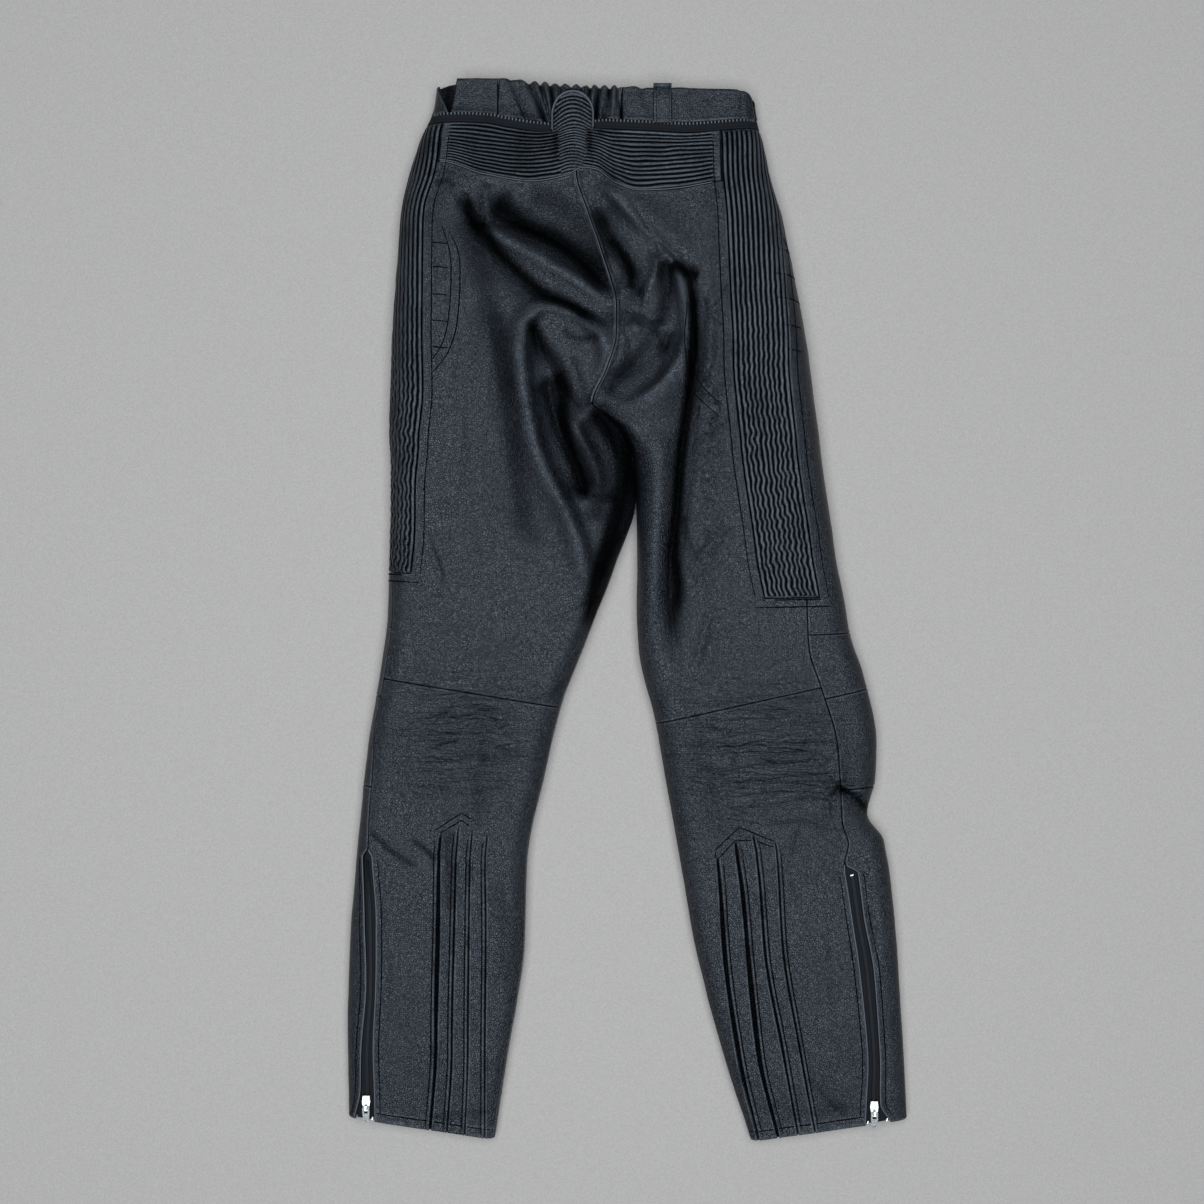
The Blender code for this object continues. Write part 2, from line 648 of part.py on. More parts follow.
def yoke():
    """Ribbed yoke with its round tongue, which lies over the waistband."""
    body = np.linspace(0, 1, 2 * YOKE_RIBS + 1)
    tongue = np.array([0.34, 0.67, 1.0])
    side = TONGUE_HALF * np.cos(np.linspace(math.pi, 0, 7))
    ease_in = np.array([0, 0.18, 0.36, 0.53, 0.68, 0.81, 0.92])
    share = np.concatenate([ease_in - 1, 0 * side, 1 - ease_in[::-1]])
    step = np.concatenate([0 * ease_in, side, 0 * ease_in])
    rows = np.concatenate([body, 1 + tongue])
    drop = np.zeros((len(rows), len(share)))
    x = np.zeros_like(drop)
    for k in range(2):
        left = through(drop, ROWS["left"], 1) + through(drop, STRETCH_SEAM["left"], 1) + SEAM_GAP * 1.5
        right = through(drop, ROWS["right"], 1) - through(drop, STRETCH_SEAM["right"], 1) - SEAM_GAP / 2
        first, last = TONGUE_X - TONGUE_HALF, TONGUE_X + TONGUE_HALF
        x = np.where(share < 0, first + (first - left) * share, last + (right - last) * share)
        x = np.where(share == 0, TONGUE_X + step, x)
        low = through(x, YOKE_SEAM, 1) - YOKE_GAP
        cap = TONGUE_SIDE_DROP - np.sqrt(np.clip(TONGUE_HALF**2 - (x - TONGUE_X) ** 2, 0, None))
        up = np.clip(rows - 1, 0, 1)[:, None]
        drop = low + (YOKE_TOP + SEAM_GAP - low) * np.minimum(rows, 1)[:, None]
        drop = drop + (cap - YOKE_TOP - SEAM_GAP) * up
    keep = np.ones((len(rows) - 1, len(share) - 1), bool)
    keep[len(body) - 1 :, : len(ease_in)] = False
    keep[len(body) - 1 :, -len(ease_in) :] = False
    beside = 1 - ease(np.abs(x - TONGUE_X), TONGUE_HALF, TONGUE_HALF + 14)
    lift = TONGUE_LIFT * beside * (1 - ease(drop, YOKE_TOP, YOKE_TOP + 26))
    ribs = RIB_RISE * zigzag(np.minimum(rows, 1)[:, None] * YOKE_RIBS) + np.zeros_like(x)
    ribs[len(body) :] = RIB_RISE * np.array([1, 0, 0.6])[:, None]
    outside = on_back(x, drop, RIB_RISE / 2 - lift - ribs)
    inside = on_back(x, drop, RIB_BASE - lift)
    return wall("yoke", outside, inside, LEATHER, keep)


def band_edge(x):
    return through(x, BAND_EDGE, 1)


def back_band(name, first, last, across, gathers=0):
    """A length of the back waistband. Its ends are slanted by two x values: at the top and below."""
    down = np.linspace(0, 1, 4)[:, None]
    left = first[0] + (first[1] - first[0]) * down
    right = last[0] + (last[1] - last[0]) * down
    x = left + (right - left) * across
    drop = band_edge(x) + (BAND_END - SEAM_GAP - band_edge(x)) * down
    rise = np.zeros_like(x)
    if gathers:
        rise = GATHER_RISE * zigzag(across * gathers) + np.zeros_like(x)
        drop = drop + 1.5 * zigzag(across * gathers) * (1 - down)
    return back_leather(name, x, drop, BAND, rise=rise)


def front_band(half, start_reach, columns=11):
    """The waistband round the side of the hip to the centre front. It starts at two reaches: at its
    top and below."""
    rows = np.linspace(0, BAND_END - SEAM_GAP, 4)
    row = rows[:, None] + np.zeros(columns)
    start = np.interp(rows, (0, BAND_END), start_reach)[:, None]
    end = SEAM_GAP / 2 - Row(half, row[:, :1]).beneath
    turn = (start + 14) / (start - end)
    along = 1 + (turn - 1) * np.array([0.66, 0.33, 0])
    share = np.concatenate([np.linspace(0, 1, columns - 3) * turn, along], 1)
    reach = start + (end - start) * share
    edge = through(place(half, row, np.maximum(reach, 0), 0.0)[..., 0], BAND_EDGE, 1)
    row = edge + (BAND_END - SEAM_GAP - edge) * (row / rows[-1])
    return leather(f"waistband_front_{half}", half, row, reach, BAND)


def waistband():
    """Back band in three lengths, and the front band from each side to the centre front."""
    even, gathered = np.linspace(0, 1, 5), np.linspace(0, 1, 2 * GATHERS + 1)
    closer_at_the_edge = np.sin(np.linspace(0, 1, 11) * math.pi / 2)
    back_band("waistband_back_left", (-169.5, -176), (GATHER_LEFT - SEAM_GAP,) * 2, even)
    back_band("waistband_back_gathered", (GATHER_LEFT,) * 2, (GATHER_RIGHT,) * 2, gathered, GATHERS)
    back_band("waistband_back_right", (GATHER_RIGHT + SEAM_GAP,) * 2, (124.5, 128.0), closer_at_the_edge)
    front_band("left", (10.8, 29.0))
    front_band("right", (6.0, 6.0))


def connecting_zip(half):
    """Half of the zip that joins the trousers to a jacket: a tape with a raised row of teeth."""
    down = np.array([0, 0.3, 0.36, 0.62, 0.68, 1])[:, None]
    row = BAND_END + (ZIP_BAND_END - BAND_END) * down + np.zeros(14)
    start = seam_reach(half, np.array([STRETCH_TOP]), STRETCH_SEAM[half])[0] - STRETCH_WIDTH + SEAM_GAP / 2
    bend = np.linspace(start, 30, 9)
    end = Row(half, row[:, -1:]).over
    flat = bend[-1] + (end - bend[-1]) * np.array([0.2, 0.4, 0.6, 0.8, 1])
    reach = np.concatenate([bend + 0 * row[:, :9], flat], 1)
    rise = np.array([-0.6, -0.6, 0.7, 0.7, -0.6, -0.6])[:, None] + 0 * row
    rise = np.where(reach > 10, rise, -0.6)
    return leather(f"connecting_zip_{half}", half, row, reach, TAPE, rise=rise, thickness=1.6)


def belt_loop():
    """A strip over the waistband, sewn down at both ends with room for a belt between."""
    centre, half_width, thick = 34.5, 9.0, 1.6
    drop = np.array([2, 5.5, 9, 14, 20, 27, 33, 37, 40, 43, 46])
    lift = np.array([0.4, 0.5, 1.6, 2.3, 2.5, 2.3, 1.8, 1.6, 1.7, 1.8, 1.6])
    x = centre + np.array([-half_width, half_width]) + np.zeros((len(drop), 1))
    base = on_back(x, np.maximum(drop, band_edge(centre))[:, None] + 0 * x, 0.0)
    base[..., 1] = LENGTH / 2 - drop[:, None]
    inside = base.copy()
    inside[..., 2] = base[..., 2].max(1)[:, None] + lift[:, None]
    outside = inside.copy()
    outside[..., 2] += thick
    return wall("belt_loop", outside, inside, BAND)


def mirrored(points):
    """A closed outline from its right half."""
    return points + [(-x, y) for x, y in reversed(points)]


def outline_solid(name, outline, depth, finish, axis=0):
    """A flat shape with its holes, given as loops of 2-D points, made solid along one axis."""
    work = bmesh.new()
    edges = []
    for loop in outline:
        corners = [work.verts.new(np.insert(p, axis, -depth / 2)) for p in loop]
        edges += [work.edges.new((a, b)) for a, b in zip(corners, corners[1:] + corners[:1])]
    filled = bmesh.ops.triangle_fill(work, use_beauty=True, use_dissolve=False, edges=edges)
    faces = [f for f in filled["geom"] if isinstance(f, bmesh.types.BMFace)]
    moved = bmesh.ops.extrude_face_region(work, geom=faces)
    along = np.insert(np.zeros(2), axis, depth)
    far = [v for v in moved["geom"] if isinstance(v, bmesh.types.BMVert)]
    bmesh.ops.translate(work, verts=far, vec=along)
    work.verts.index_update()
    points = np.array([v.co for v in work.verts])
    faces = [[v.index for v in f.verts] for f in work.faces]
    work.free()
    return add_mesh(name, points, faces, finish)


def slider_place(half):
    """Where the slider sits on the chain: its place in millimetres."""
    rows = np.array([SLIDER_ROW[half] - 7, SLIDER_ROW[half], SLIDER_ROW[half] + 7])
    middle = (back_seam(half, rows) + front_seam(half, rows)) / 2
    spots = np.concatenate([place(half, rows, middle + side, -0.4) for side in (-3, 0, 3)])
    centre = place(half, rows, middle, 0.0)[1]
    return np.array([centre[0], centre[1], spots[:, 2].max() + SEAM_GAP])


def zip_pull(half):
    """The slider with its bail, and the tab whose bar lies under the bail. The tab swings on the bar."""
    base = slider_place(half)
    wide, long, thick = SLIDER_SIZE
    nose = long / 2
    outline = mirrored([(0.30 * wide, -nose), (0.5 * wide, 0.2 * nose), (0.42 * wide, nose)])
    slider = outline_solid(f"zip_slider_{half}", [outline], thick, STEEL, axis=2)
    inside, out = BAIL_LONG / 2 - BAIL_THICK, BAIL_LONG / 2
    high = thick / 2 + BAIL_INSIDE
    foot, roof = thick / 2 - 0.6, high + BAIL_THICK
    bail_outline = mirrored([(inside, high), (inside, foot), (out, foot), (out, high), (out - 1, roof)])
    hinge = out - nose
    bail_outline = [(y + hinge, z) for y, z in bail_outline]
    bail = outline_solid("bail", [bail_outline], BAIL_WIDTH, STEEL, axis=0)
    union = slider.modifiers.new("bail", "BOOLEAN")
    union.operation, union.object = "UNION", bail
    bail.hide_render = True
    bail.display_type = "WIRE"
    slider.location = (base + [0, 0, thick / 2]) * MM
    bail.location = slider.location

    width, length, plate = TAB_SIZE
    slot_wide, slot_long = TAB_SLOT
    taper = width * 0.36
    shoulder, tip = (width / 2, -slot_long), (taper, 2 - length)
    rim = mirrored([(width / 2, TAB_BAR / 2), shoulder, tip, (taper - 1, -length)])
    slot = mirrored([(slot_wide / 2, -TAB_BAR / 2), (slot_wide / 2, -slot_long)])
    turn = np.linspace(0, 2 * math.pi, 8, endpoint=False)
    eye = [(EYE_RADIUS * math.cos(a), 4 - length + EYE_RADIUS * math.sin(a)) for a in turn]
    tab = outline_solid(f"zip_tab_{half}", [rim, slot, eye], plate, STEEL, axis=2)
    tab.location = (base + [0, hinge, thick + BAIL_INSIDE / 2]) * MM
    tab.rotation_euler = (TAB_TILT, 0, 0)


def main():
    for old in list(bpy.data.objects):
        bpy.data.objects.remove(old)
    waistband()
    belt_loop()
    yoke()
    fly_flap()
    for half in ("left", "right"):
        stretch_panel(half)
        back_panel(half)
        calf_panel(half)
        front_thigh(half)
        knees = FRONT_KNEE_ROWS[half]
        front_lower("knee_upper", half, knees[0], knees[1] - SEAM_GAP / 2)
        front_lower("knee_lower", half, knees[1], knees[2] - SEAM_GAP / 2)
        front_lower("shin", half, knees[2], HEM_ROW[half])
        calf_zip(half)
        connecting_zip(half)
        zip_pull(half)


main()
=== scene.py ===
"""Looks of the black leather motorcycle trousers, laid flat with the back uppermost.

Tables are in millimetres on the garment: x runs from its left side to its right in this view, and a
drop is the distance down from the waist edge. Each half is one flattened tube of rows. A place on a
row is its reach, the length of leather from the outer edge, positive over the top and negative
underneath. Every point becomes metres in the part's frame as it leaves skin().
"""

import math

import bpy
import numpy as np
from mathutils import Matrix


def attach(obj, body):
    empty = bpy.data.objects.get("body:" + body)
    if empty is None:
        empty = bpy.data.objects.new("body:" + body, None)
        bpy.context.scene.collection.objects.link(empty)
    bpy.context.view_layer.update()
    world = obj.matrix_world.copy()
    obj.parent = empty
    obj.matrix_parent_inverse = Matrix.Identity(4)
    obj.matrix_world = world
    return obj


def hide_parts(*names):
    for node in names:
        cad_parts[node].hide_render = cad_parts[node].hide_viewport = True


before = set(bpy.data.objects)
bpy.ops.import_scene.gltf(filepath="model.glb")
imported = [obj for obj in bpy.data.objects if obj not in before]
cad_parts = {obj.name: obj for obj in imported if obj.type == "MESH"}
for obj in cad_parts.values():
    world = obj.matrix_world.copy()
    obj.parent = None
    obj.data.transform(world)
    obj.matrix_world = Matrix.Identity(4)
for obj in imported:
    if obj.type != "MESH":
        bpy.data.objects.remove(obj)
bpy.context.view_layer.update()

# Sizes shared with the solids
LENGTH = 1058.0
MM = 0.001
SEAM_GAP = 0.3
HALF_APART = 0.2
STRETCH_WIDTH = 55.0
STRETCH_RIBS = 11
STRETCH_TOP = 50.0
STRETCH_END = {"left": 497.0, "right": 517.0}
YOKE_TOP = 50.0
YOKE_RIBS = 13
YOKE_GAP = 0.4
TONGUE_X, TONGUE_HALF, TONGUE_SIDE_DROP, TONGUE_LIFT = -54.5, 21.0, 36.0, 3.6
BAND_END, ZIP_BAND_END = 40.5, 49.7
LOOP_X, LOOP_HALF = 34.5, 9.0
GATHER_LEFT, GATHER_RIGHT = -128.5, -6.5
BACK_KNEE_ROW = {"left": 610.0, "right": 618.0}
FRONT_KNEE_ROWS = {"left": (556.0, 628.0, 714.0), "right": (556.0, 630.0, 714.0)}
HEM_ROW = {"left": 1045.0, "right": 1047.0}
ZIP_START = {"left": 776.0, "right": 790.0}
INSEAM_WRAP = {"left": 10.0, "right": 3.0}
LEG_TOP = 324.0
LOWEST_TOP = 13.0
WRAP_START, WRAP_FULL = 404, 470
HIP_FALL, HIP_LENGTH = 220, 212

# Thickness of the walls
LEATHER_THICK, YOKE_THICK, RIBBED_THICK, TAPE_THICK, CALF_TAPE_THICK = 1.8, 1.6, 1.0, 1.0, 0.9

# Distances of the stitch rows from their seams, and of the sewing of the knee seam
SEWN_AWAY = (1.8, 9.0)
KNEE_SEWN_AWAY = (-1.8, 1.8)

# Spacing of the meshes, along the rows and across them
LEG_ROWS, LEG_COLUMNS = 2.4, 2.3
CALF_ROWS, CALF_COLUMNS = 2.8, 2.6
FRONT_STEP = 4.6
LOWER_ROWS, LOWER_COLUMNS = 3.6, 3.9
STRETCH_ROWS, STRETCH_RIB_COLUMNS, YOKE_RIB_ROWS = 2.0, 8, 9

# Outline of each half. Columns: row, outer x, outer drop, inner x, inner drop.
ROWS = {
    "left": (
        (0, -190, 0, -52, 0),
        (19, -192, 19, -52, 19),
        (39, -196, 39, -52, 39),
        (62, -207, 62, -52, 62),
        (97, -219, 97, -51, 97),
        (133, -226, 133, -40, 133),
        (169, -229, 169, -27, 169),
        (229, -233, 229, -11.5, 229),
        (258, -235, 258, -12, 258),
        (290, -236, 290, -21, 290),
        (324, -237, 324, -35, 324),
        (336, -237.5, 336, -21, 336),
        (352, -237.5, 352, -4, 352),
        (379, -236, 379, 4.9, 379),
        (419, -236, 419, 8.2, 419),
        (479, -237.5, 474, -12, 484),
        (539, -239.5, 529, -37, 549),
        (610, -248, 595, -66, 625),
        (679, -260, 666, -82, 692),
        (769, -269.5, 759, -100, 779),
        (859, -277, 849, -103, 869),
        (959, -280, 949, -119, 969),
        (1045, -279, 1034, -132.5, 1056),
    ),
    "right": (
        (0, 126, 0, -52, 0),
        (19, 127, 19, -52, 19),
        (39, 129.5, 39, -52, 39),
        (62, 135, 62, -52, 62),
        (97, 142.5, 97, -51, 97),
        (133, 153, 133, -40, 133),
        (169, 161, 169, -27, 169),
        (229, 173, 229, -11.5, 229),
        (258, 178.5, 258, -12, 258),
        (290, 183, 290, -21, 290),
        (324, 187.5, 324, -35, 324),
        (336, 189, 336, -21, 336),
        (352, 191, 352, -4, 352),
        (379, 194, 379, 5, 379),
        (419, 200, 419, 8.5, 419),
        (479, 208, 474, 9.5, 484),
        (519, 217, 517, 9, 521),
        (560, 223, 554, 11, 566),
        (618, 236, 595, 28, 641),
        (679, 249, 661, 38, 697),
        (706, 248, 694, 42, 719),
        (739, 240, 731, 47, 747),
        (770, 257, 759, 53, 781),
        (859, 268, 847, 69, 871),
        (959, 275, 949, 95, 969),
        (1047, 280, 1036, 123, 1058),
    ),
}

# Build of the flattened tube. Columns: row, height of the top, height of the side edge,
# width of the rounding over the top, width of the rounding underneath.
BUILD = (
    (0, 22, 8, 16, 7),
    (39, 25, 8, 18, 8),
    (97, 31, 9, 22, 9),
    (249, 37, 10, 26, 10),
    (324, 37, 10, 26, 10),
    (419, 34, 10, 26, 10),
    (539, 31, 10, 24, 10),
    (610, 29, 10, 23, 10),
    (769, 26, 9, 22, 9),
    (959, 21, 8, 18, 8),
    (1047, 16, 7, 14, 7),
)
CLOSING = ((0, 0.0), (324, 0.0), (349, 0.45), (379, 0.85), (404, 1.0), (1050, 1.0))

# Seams on the top, as a distance in from the outer edge. Columns: row, distance.
STRETCH_SEAM = {
    "left": (
        *((50, 17.5), (97, 28), (131, 25), (169, 27), (219, 30), (269, 33), (319, 35)),
        *((362, 31), (410, 26.5), (459, 26.5), (497, 24)),
    ),
    "right": (
        *((50, 39.5), (97, 48.5), (169, 62), (249, 74), (301, 80), (345, 81)),
        *((413, 81.5), (454, 80.6), (517, 82)),
    ),
}
SIDE_SEAM = {
    "left": ((495, 4), (539, 6), (603, 6), (651, 5), (699, 9), (737, 10), (770, 12)),
    "right": (
        *((515, 40), (554, 44), (584, 47), (612, 46), (659, 43), (699, 39)),
        *((720, 33), (739, 28), (758, 34), (784, 45)),
    ),
}
# The calf zip's two sides. Columns: row, back side, front side.
ZIP_SIDES = {
    "left": (
        *((782, 17, 8), (847, 26.5, 16), (912, 28.5, 20)),
        *((977, 26.5, 15.5), (1015, 27, 14), (1045, 27, 7)),
    ),
    "right": ((796, 46, 34), (838, 44, 33), (897, 40, 27), (976, 37, 26), (1026, 41, 28), (1047, 43, 18)),
}
# The lower seam of the yoke and the top edge of the waistband. Columns: x, drop.
YOKE_SEAM = (
    *((-190, 84), (-176, 86), (-143, 97), (-95, 104), (-60, 99), (-44, 92)),
    *((-32, 93), (-12, 107), (9, 114), (44, 112), (92, 104)),
)
BAND_EDGE = (
    *((-196, 12), (-188, 5), (-169, 0), (-127, 0), (-97, 4)),
    *((-47, 8), (0, 9), (108, 11), (120, 14), (127, 22)),
)

# The pleats in the calf. Columns: row, then each pleat's distance in from the outer edge.
PLEAT_ROWS = {"left": (770, 860, 960, 1045), "right": (745, 772, 860, 960, 1047)}
PLEATS = {
    "left": ((83, 89, 90, 83), (100, 105, 106, 100), (114, 120, 122, 118), (129, 137, 139, 138)),
    "right": (
        *((153, 169, 173, 166, 151), (136, 149, 150, 146, 131)),
        *((118, 130, 133, 122, 111), (98, 110, 115, 105, 94)),
    ),
}
PLEAT_WIDTH = {"left": (3.9, 2.0, 1.6, 1.6), "right": (4.4, 4.6, 2.6, 2.0)}
PLEAT_START = {"left": (752, 742, 746, 748), "right": (767, 755, 750, 759)}
PLEAT_DEPTH = 2.8

# The largest folds, which the solids hold more plainly. Columns: height (a trough is negative), width
# to the left of its line, width to the right, sharpness, points of x and drop.
FOLDS = (
    (-9, 12, 13, 1.0, (
        (-168, 107), (-158, 128), (-146, 146), (-131, 177), (-112, 199), (-88, 215), (-60, 224),
        (-36, 235), (-14, 252),
    )),
    (-13, 21, 11, 0.8, (
        (-143, 112), (-132, 131), (-103, 145), (-76, 157), (-51, 175), (-30, 195), (-10, 220),
    )),
    (5.5, 8, 8, 0.0, (
        (-148, 148), (-137, 154), (-112, 168), (-88, 181), (-66, 194), (-45, 206), (-18, 228),
    )),
    (8, 13, 8, 0.0, (
        (-36, 520), (-48, 460), (-62, 425), (-86, 378), (-97, 330), (-103, 290), (-101, 250),
        (-85, 229), (-64, 231), (-42, 243), (-27, 258), (-21, 275), (-27, 296), (-37, 322),
    )),
    (4, 30, 14, 0.0, ((-40, 520), (-66, 430), (-92, 378), (-104, 330), (-112, 280), (-112, 240))),
    (-7, 5, 12, 1.0, ((-97, 238), (-93, 248), (-88, 266), (-76, 293), (-60, 315), (-42, 334))),
    (-12, 9, 13, 1.0, ((-82, 292), (-76, 318), (-67, 351), (-53, 382), (-40, 421))),
    (4, 7, 7, 0.0, ((-58, 335), (-47, 360), (-36, 385), (-26, 412))),
    (-7, 8, 12, 1.0, ((-38, 330), (-22, 352), (-14, 385), (-20, 425))),
    (-7, 15, 17, 0.5, ((-139, 205), (-137, 266), (-125, 318), (-122, 360), (-114, 415), (-104, 462))),
    (-5, 7, 7, 1.0, ((-139, 104), (-143, 122), (-146, 150))),
    (9, 20, 8, 0.0, (
        (-38, 94), (-12, 121), (13, 146), (33, 166), (47, 189), (56, 220), (59, 247), (54, 275),
        (37, 302), (13, 321), (-16, 334),
    )),
    (-10, 9, 10, 1.0, (
        (-9, 110), (8, 133), (27, 159), (44, 176), (59, 192), (66, 220), (68, 247), (67, 284),
        (61, 318), (53, 373), (48, 429), (42, 485), (44, 540), (54, 604),
    )),
    (-11, 12, 15, 0.9, ((-34, 128), (-21, 152), (-8, 177), (4, 198), (12, 220), (5, 252))),
    (4.5, 6, 6, 0.0, ((31, 174), (27, 195), (17, 217), (10, 238), (6, 262))),
    (-6, 8, 8, 1.0, ((37, 178), (41, 204), (38, 226), (30, 250))),
    (-7, 10, 9, 0.8, ((46, 244), (34, 268), (13, 284), (-8, 299), (-24, 317))),
    (5, 15, 15, 0.0, ((24, 345), (30, 370), (25, 439), (22, 540))),
    (-3, 14, 14, 0.0, ((-140, 619), (-146, 679), (-150, 745))),
    (-7, 6, 6, 1.0, ((204, 701), (222, 713), (244, 730))),
    (6, 24, 24, 0.0, ((-54, 4), (-54, 50), (-54, 106))),
)
FOLD_BEND = 1.6

# Where the folds lie in deep shade. Columns: strength, width to the left of its line's way, width to
# the right, points of x and drop.
SHADES = (
    (0.94, 14, 15, ((-139, 113), (-120, 130), (-106, 143), (-70, 161), (-36, 186), (-17, 208))),
    (0.60, 14, 13, ((-104, 116), (-68, 127), (-38, 157), (-19, 190))),
    (0.60, 4, 5, ((-66, 250), (-50, 260), (-24, 258))),
    (0.55, 5, 4, ((-56, 274), (-46, 302), (-37, 330))),
    (0.95, 8, 8, (
        (-168, 104), (-162, 118), (-155, 134), (-142, 157), (-116, 186), (-85, 213), (-54, 229),
        (-27, 253),
    )),
    (0.58, 13, 14, (
        (-163, 128), (-149, 180), (-142, 205), (-137, 226), (-130, 250), (-125, 272), (-120, 340),
    )),
    (0.44, 13, 13, ((-125, 315), (-110, 392), (-99, 449), (-82, 475))),
    (0.80, 7, 8, ((-99, 236), (-92, 252), (-80, 270), (-66, 290), (-60, 312), (-64, 345))),
    (1.00, 7, 6, ((-74, 286), (-67, 307), (-64, 341), (-56, 372), (-44, 404), (-40, 424))),
    (1.00, 19, 10, (
        (-46, 312), (-33, 332), (-19, 352), (-8, 375), (-6, 401), (-12, 429), (-21, 461),
        (-30, 495), (-37, 535), (-44, 560),
    )),
    (0.72, 12, 11, ((-48, 332), (-40, 356), (-31, 386), (-29, 415), (-36, 448))),
    (0.60, 8, 8, ((-36, 120), (-24, 150), (-4, 182), (12, 205))),
    (0.85, 5, 5, ((-22, 156), (-8, 171), (2, 188), (4, 215))),
    (0.62, 7, 7, ((28, 172), (34, 200), (34, 220), (25, 253), (7, 278), (-18, 308))),
    (0.95, 8, 8, ((40, 186), (50, 191), (62, 196), (72, 200))),
    (0.95, 8, 7, (
        (58, 180), (63, 205), (65, 240), (64, 272), (61, 307), (54, 364), (50, 421), (47, 478),
        (50, 507), (41, 560),
    )),
    (0.50, 3, 5, ((57, 430), (59, 452), (66, 472), (74, 484))),
    (0.40, 3, 3, ((76, 478), (88, 468), (97, 452), (108, 444))),
    (0.30, 5, 5, ((62, 500), (78, 488), (92, 470))),
    (0.50, 6, 6, ((-178, 742), (-177, 790), (-175, 832))),
    (0.35, 9, 9, ((-129, 796), (-121, 850), (-126, 905))),
    (0.35, 5, 5, ((-205, 1034), (-165, 1031), (-136, 1024))),
    (0.30, 6, 6, ((150, 1025), (185, 1028), (225, 1018))),
    (0.45, 5, 5, ((178, 990), (200, 1015), (222, 1035))),
    (0.30, 10, 10, ((66, 640), (80, 700), (92, 760))),
    (0.35, 5, 5, ((-60, 598), (-80, 612), (-104, 618))),
    (0.35, 6, 6, ((-180, 668), (-130, 672), (-100, 664))),
    (0.25, 5, 5, ((-215, 700), (-170, 708), (-110, 700))),
    (0.50, 2, 2, ((74, 215), (84, 240), (96, 250))),
    (0.50, 2, 2, ((78, 262), (88, 276), (101, 282))),
    (0.50, 2, 2, ((80, 232), (90, 222), (99, 205))),
    (0.45, 2, 2, ((72, 300), (86, 306), (102, 303))),
    (0.45, 2, 2, ((70, 336), (88, 345), (104, 352))),
    (0.45, 2, 2, ((68, 372), (84, 368), (102, 378))),
    (0.45, 2, 2, ((74, 402), (90, 396), (104, 400))),
    (0.70, 4, 4, ((-191, 108), (-180, 104), (-170, 112))),
    (0.95, 3, 5, ((208, 703), (224, 711), (242, 728))),
    (0.45, 1.5, 1.5, ((133, 737), (171, 736), (200, 742), (230, 751))),
    (0.40, 1.3, 1.3, ((162, 774), (166, 757), (171, 737))),
    (0.40, 1.3, 1.3, ((171, 737), (196, 753), (216, 770))),
    (0.40, 1.3, 1.3, ((60, 650), (120, 643), (203, 641))),
    (0.45, 1.3, 1.3, ((150, 665), (185, 654), (206, 643))),
    (0.40, 1.3, 1.3, ((58, 663), (140, 657), (203, 662))),
    (0.40, 1.3, 1.3, ((62, 687), (140, 681), (208, 674))),
    (0.45, 1.3, 1.3, ((66, 706), (117, 701), (167, 695), (208, 685))),
    (0.40, 1.3, 1.3, ((122, 724), (168, 700), (206, 690))),
    (0.35, 1.3, 1.3, ((66, 712), (120, 708))),
    (0.35, 1.3, 1.3, ((48, 628), (110, 622), (196, 628))),
    (0.35, 1.3, 1.3, ((-254, 652), (-200, 647), (-150, 648))),
    (0.35, 1.3, 1.3, ((-250, 663), (-190, 661), (-120, 658))),
    (0.40, 1.3, 1.3, ((-254, 686), (-202, 689), (-150, 684))),
    (0.35, 1.3, 1.3, ((-252, 706), (-190, 703), (-140, 706))),
    (0.30, 1.3, 1.3, ((-246, 628), (-180, 632), (-100, 628))),
    (0.62, 4, 3, ((-258, 746), (-232, 768), (-207, 785))),
    (0.62, 4, 3, ((-214, 755), (-202, 765), (-190, 779))),
    (0.35, 6, 6, ((-140, 622), (-146, 679), (-150, 750))),
)
MAP_LEFT, MAP_TOP = -320.0, -40.0

# How far the seams under the waistband wander down from level. Columns: x, distance.
WAIST_SAG = (
    *((-200, -5), (-165, -6), (-140, -5), (-120, -1), (-90, 4), (-72, 6), (-40, 4)),
    *((-20, 1.5), (20, 3), (58, 5), (100, 2), (130, 0)),
)

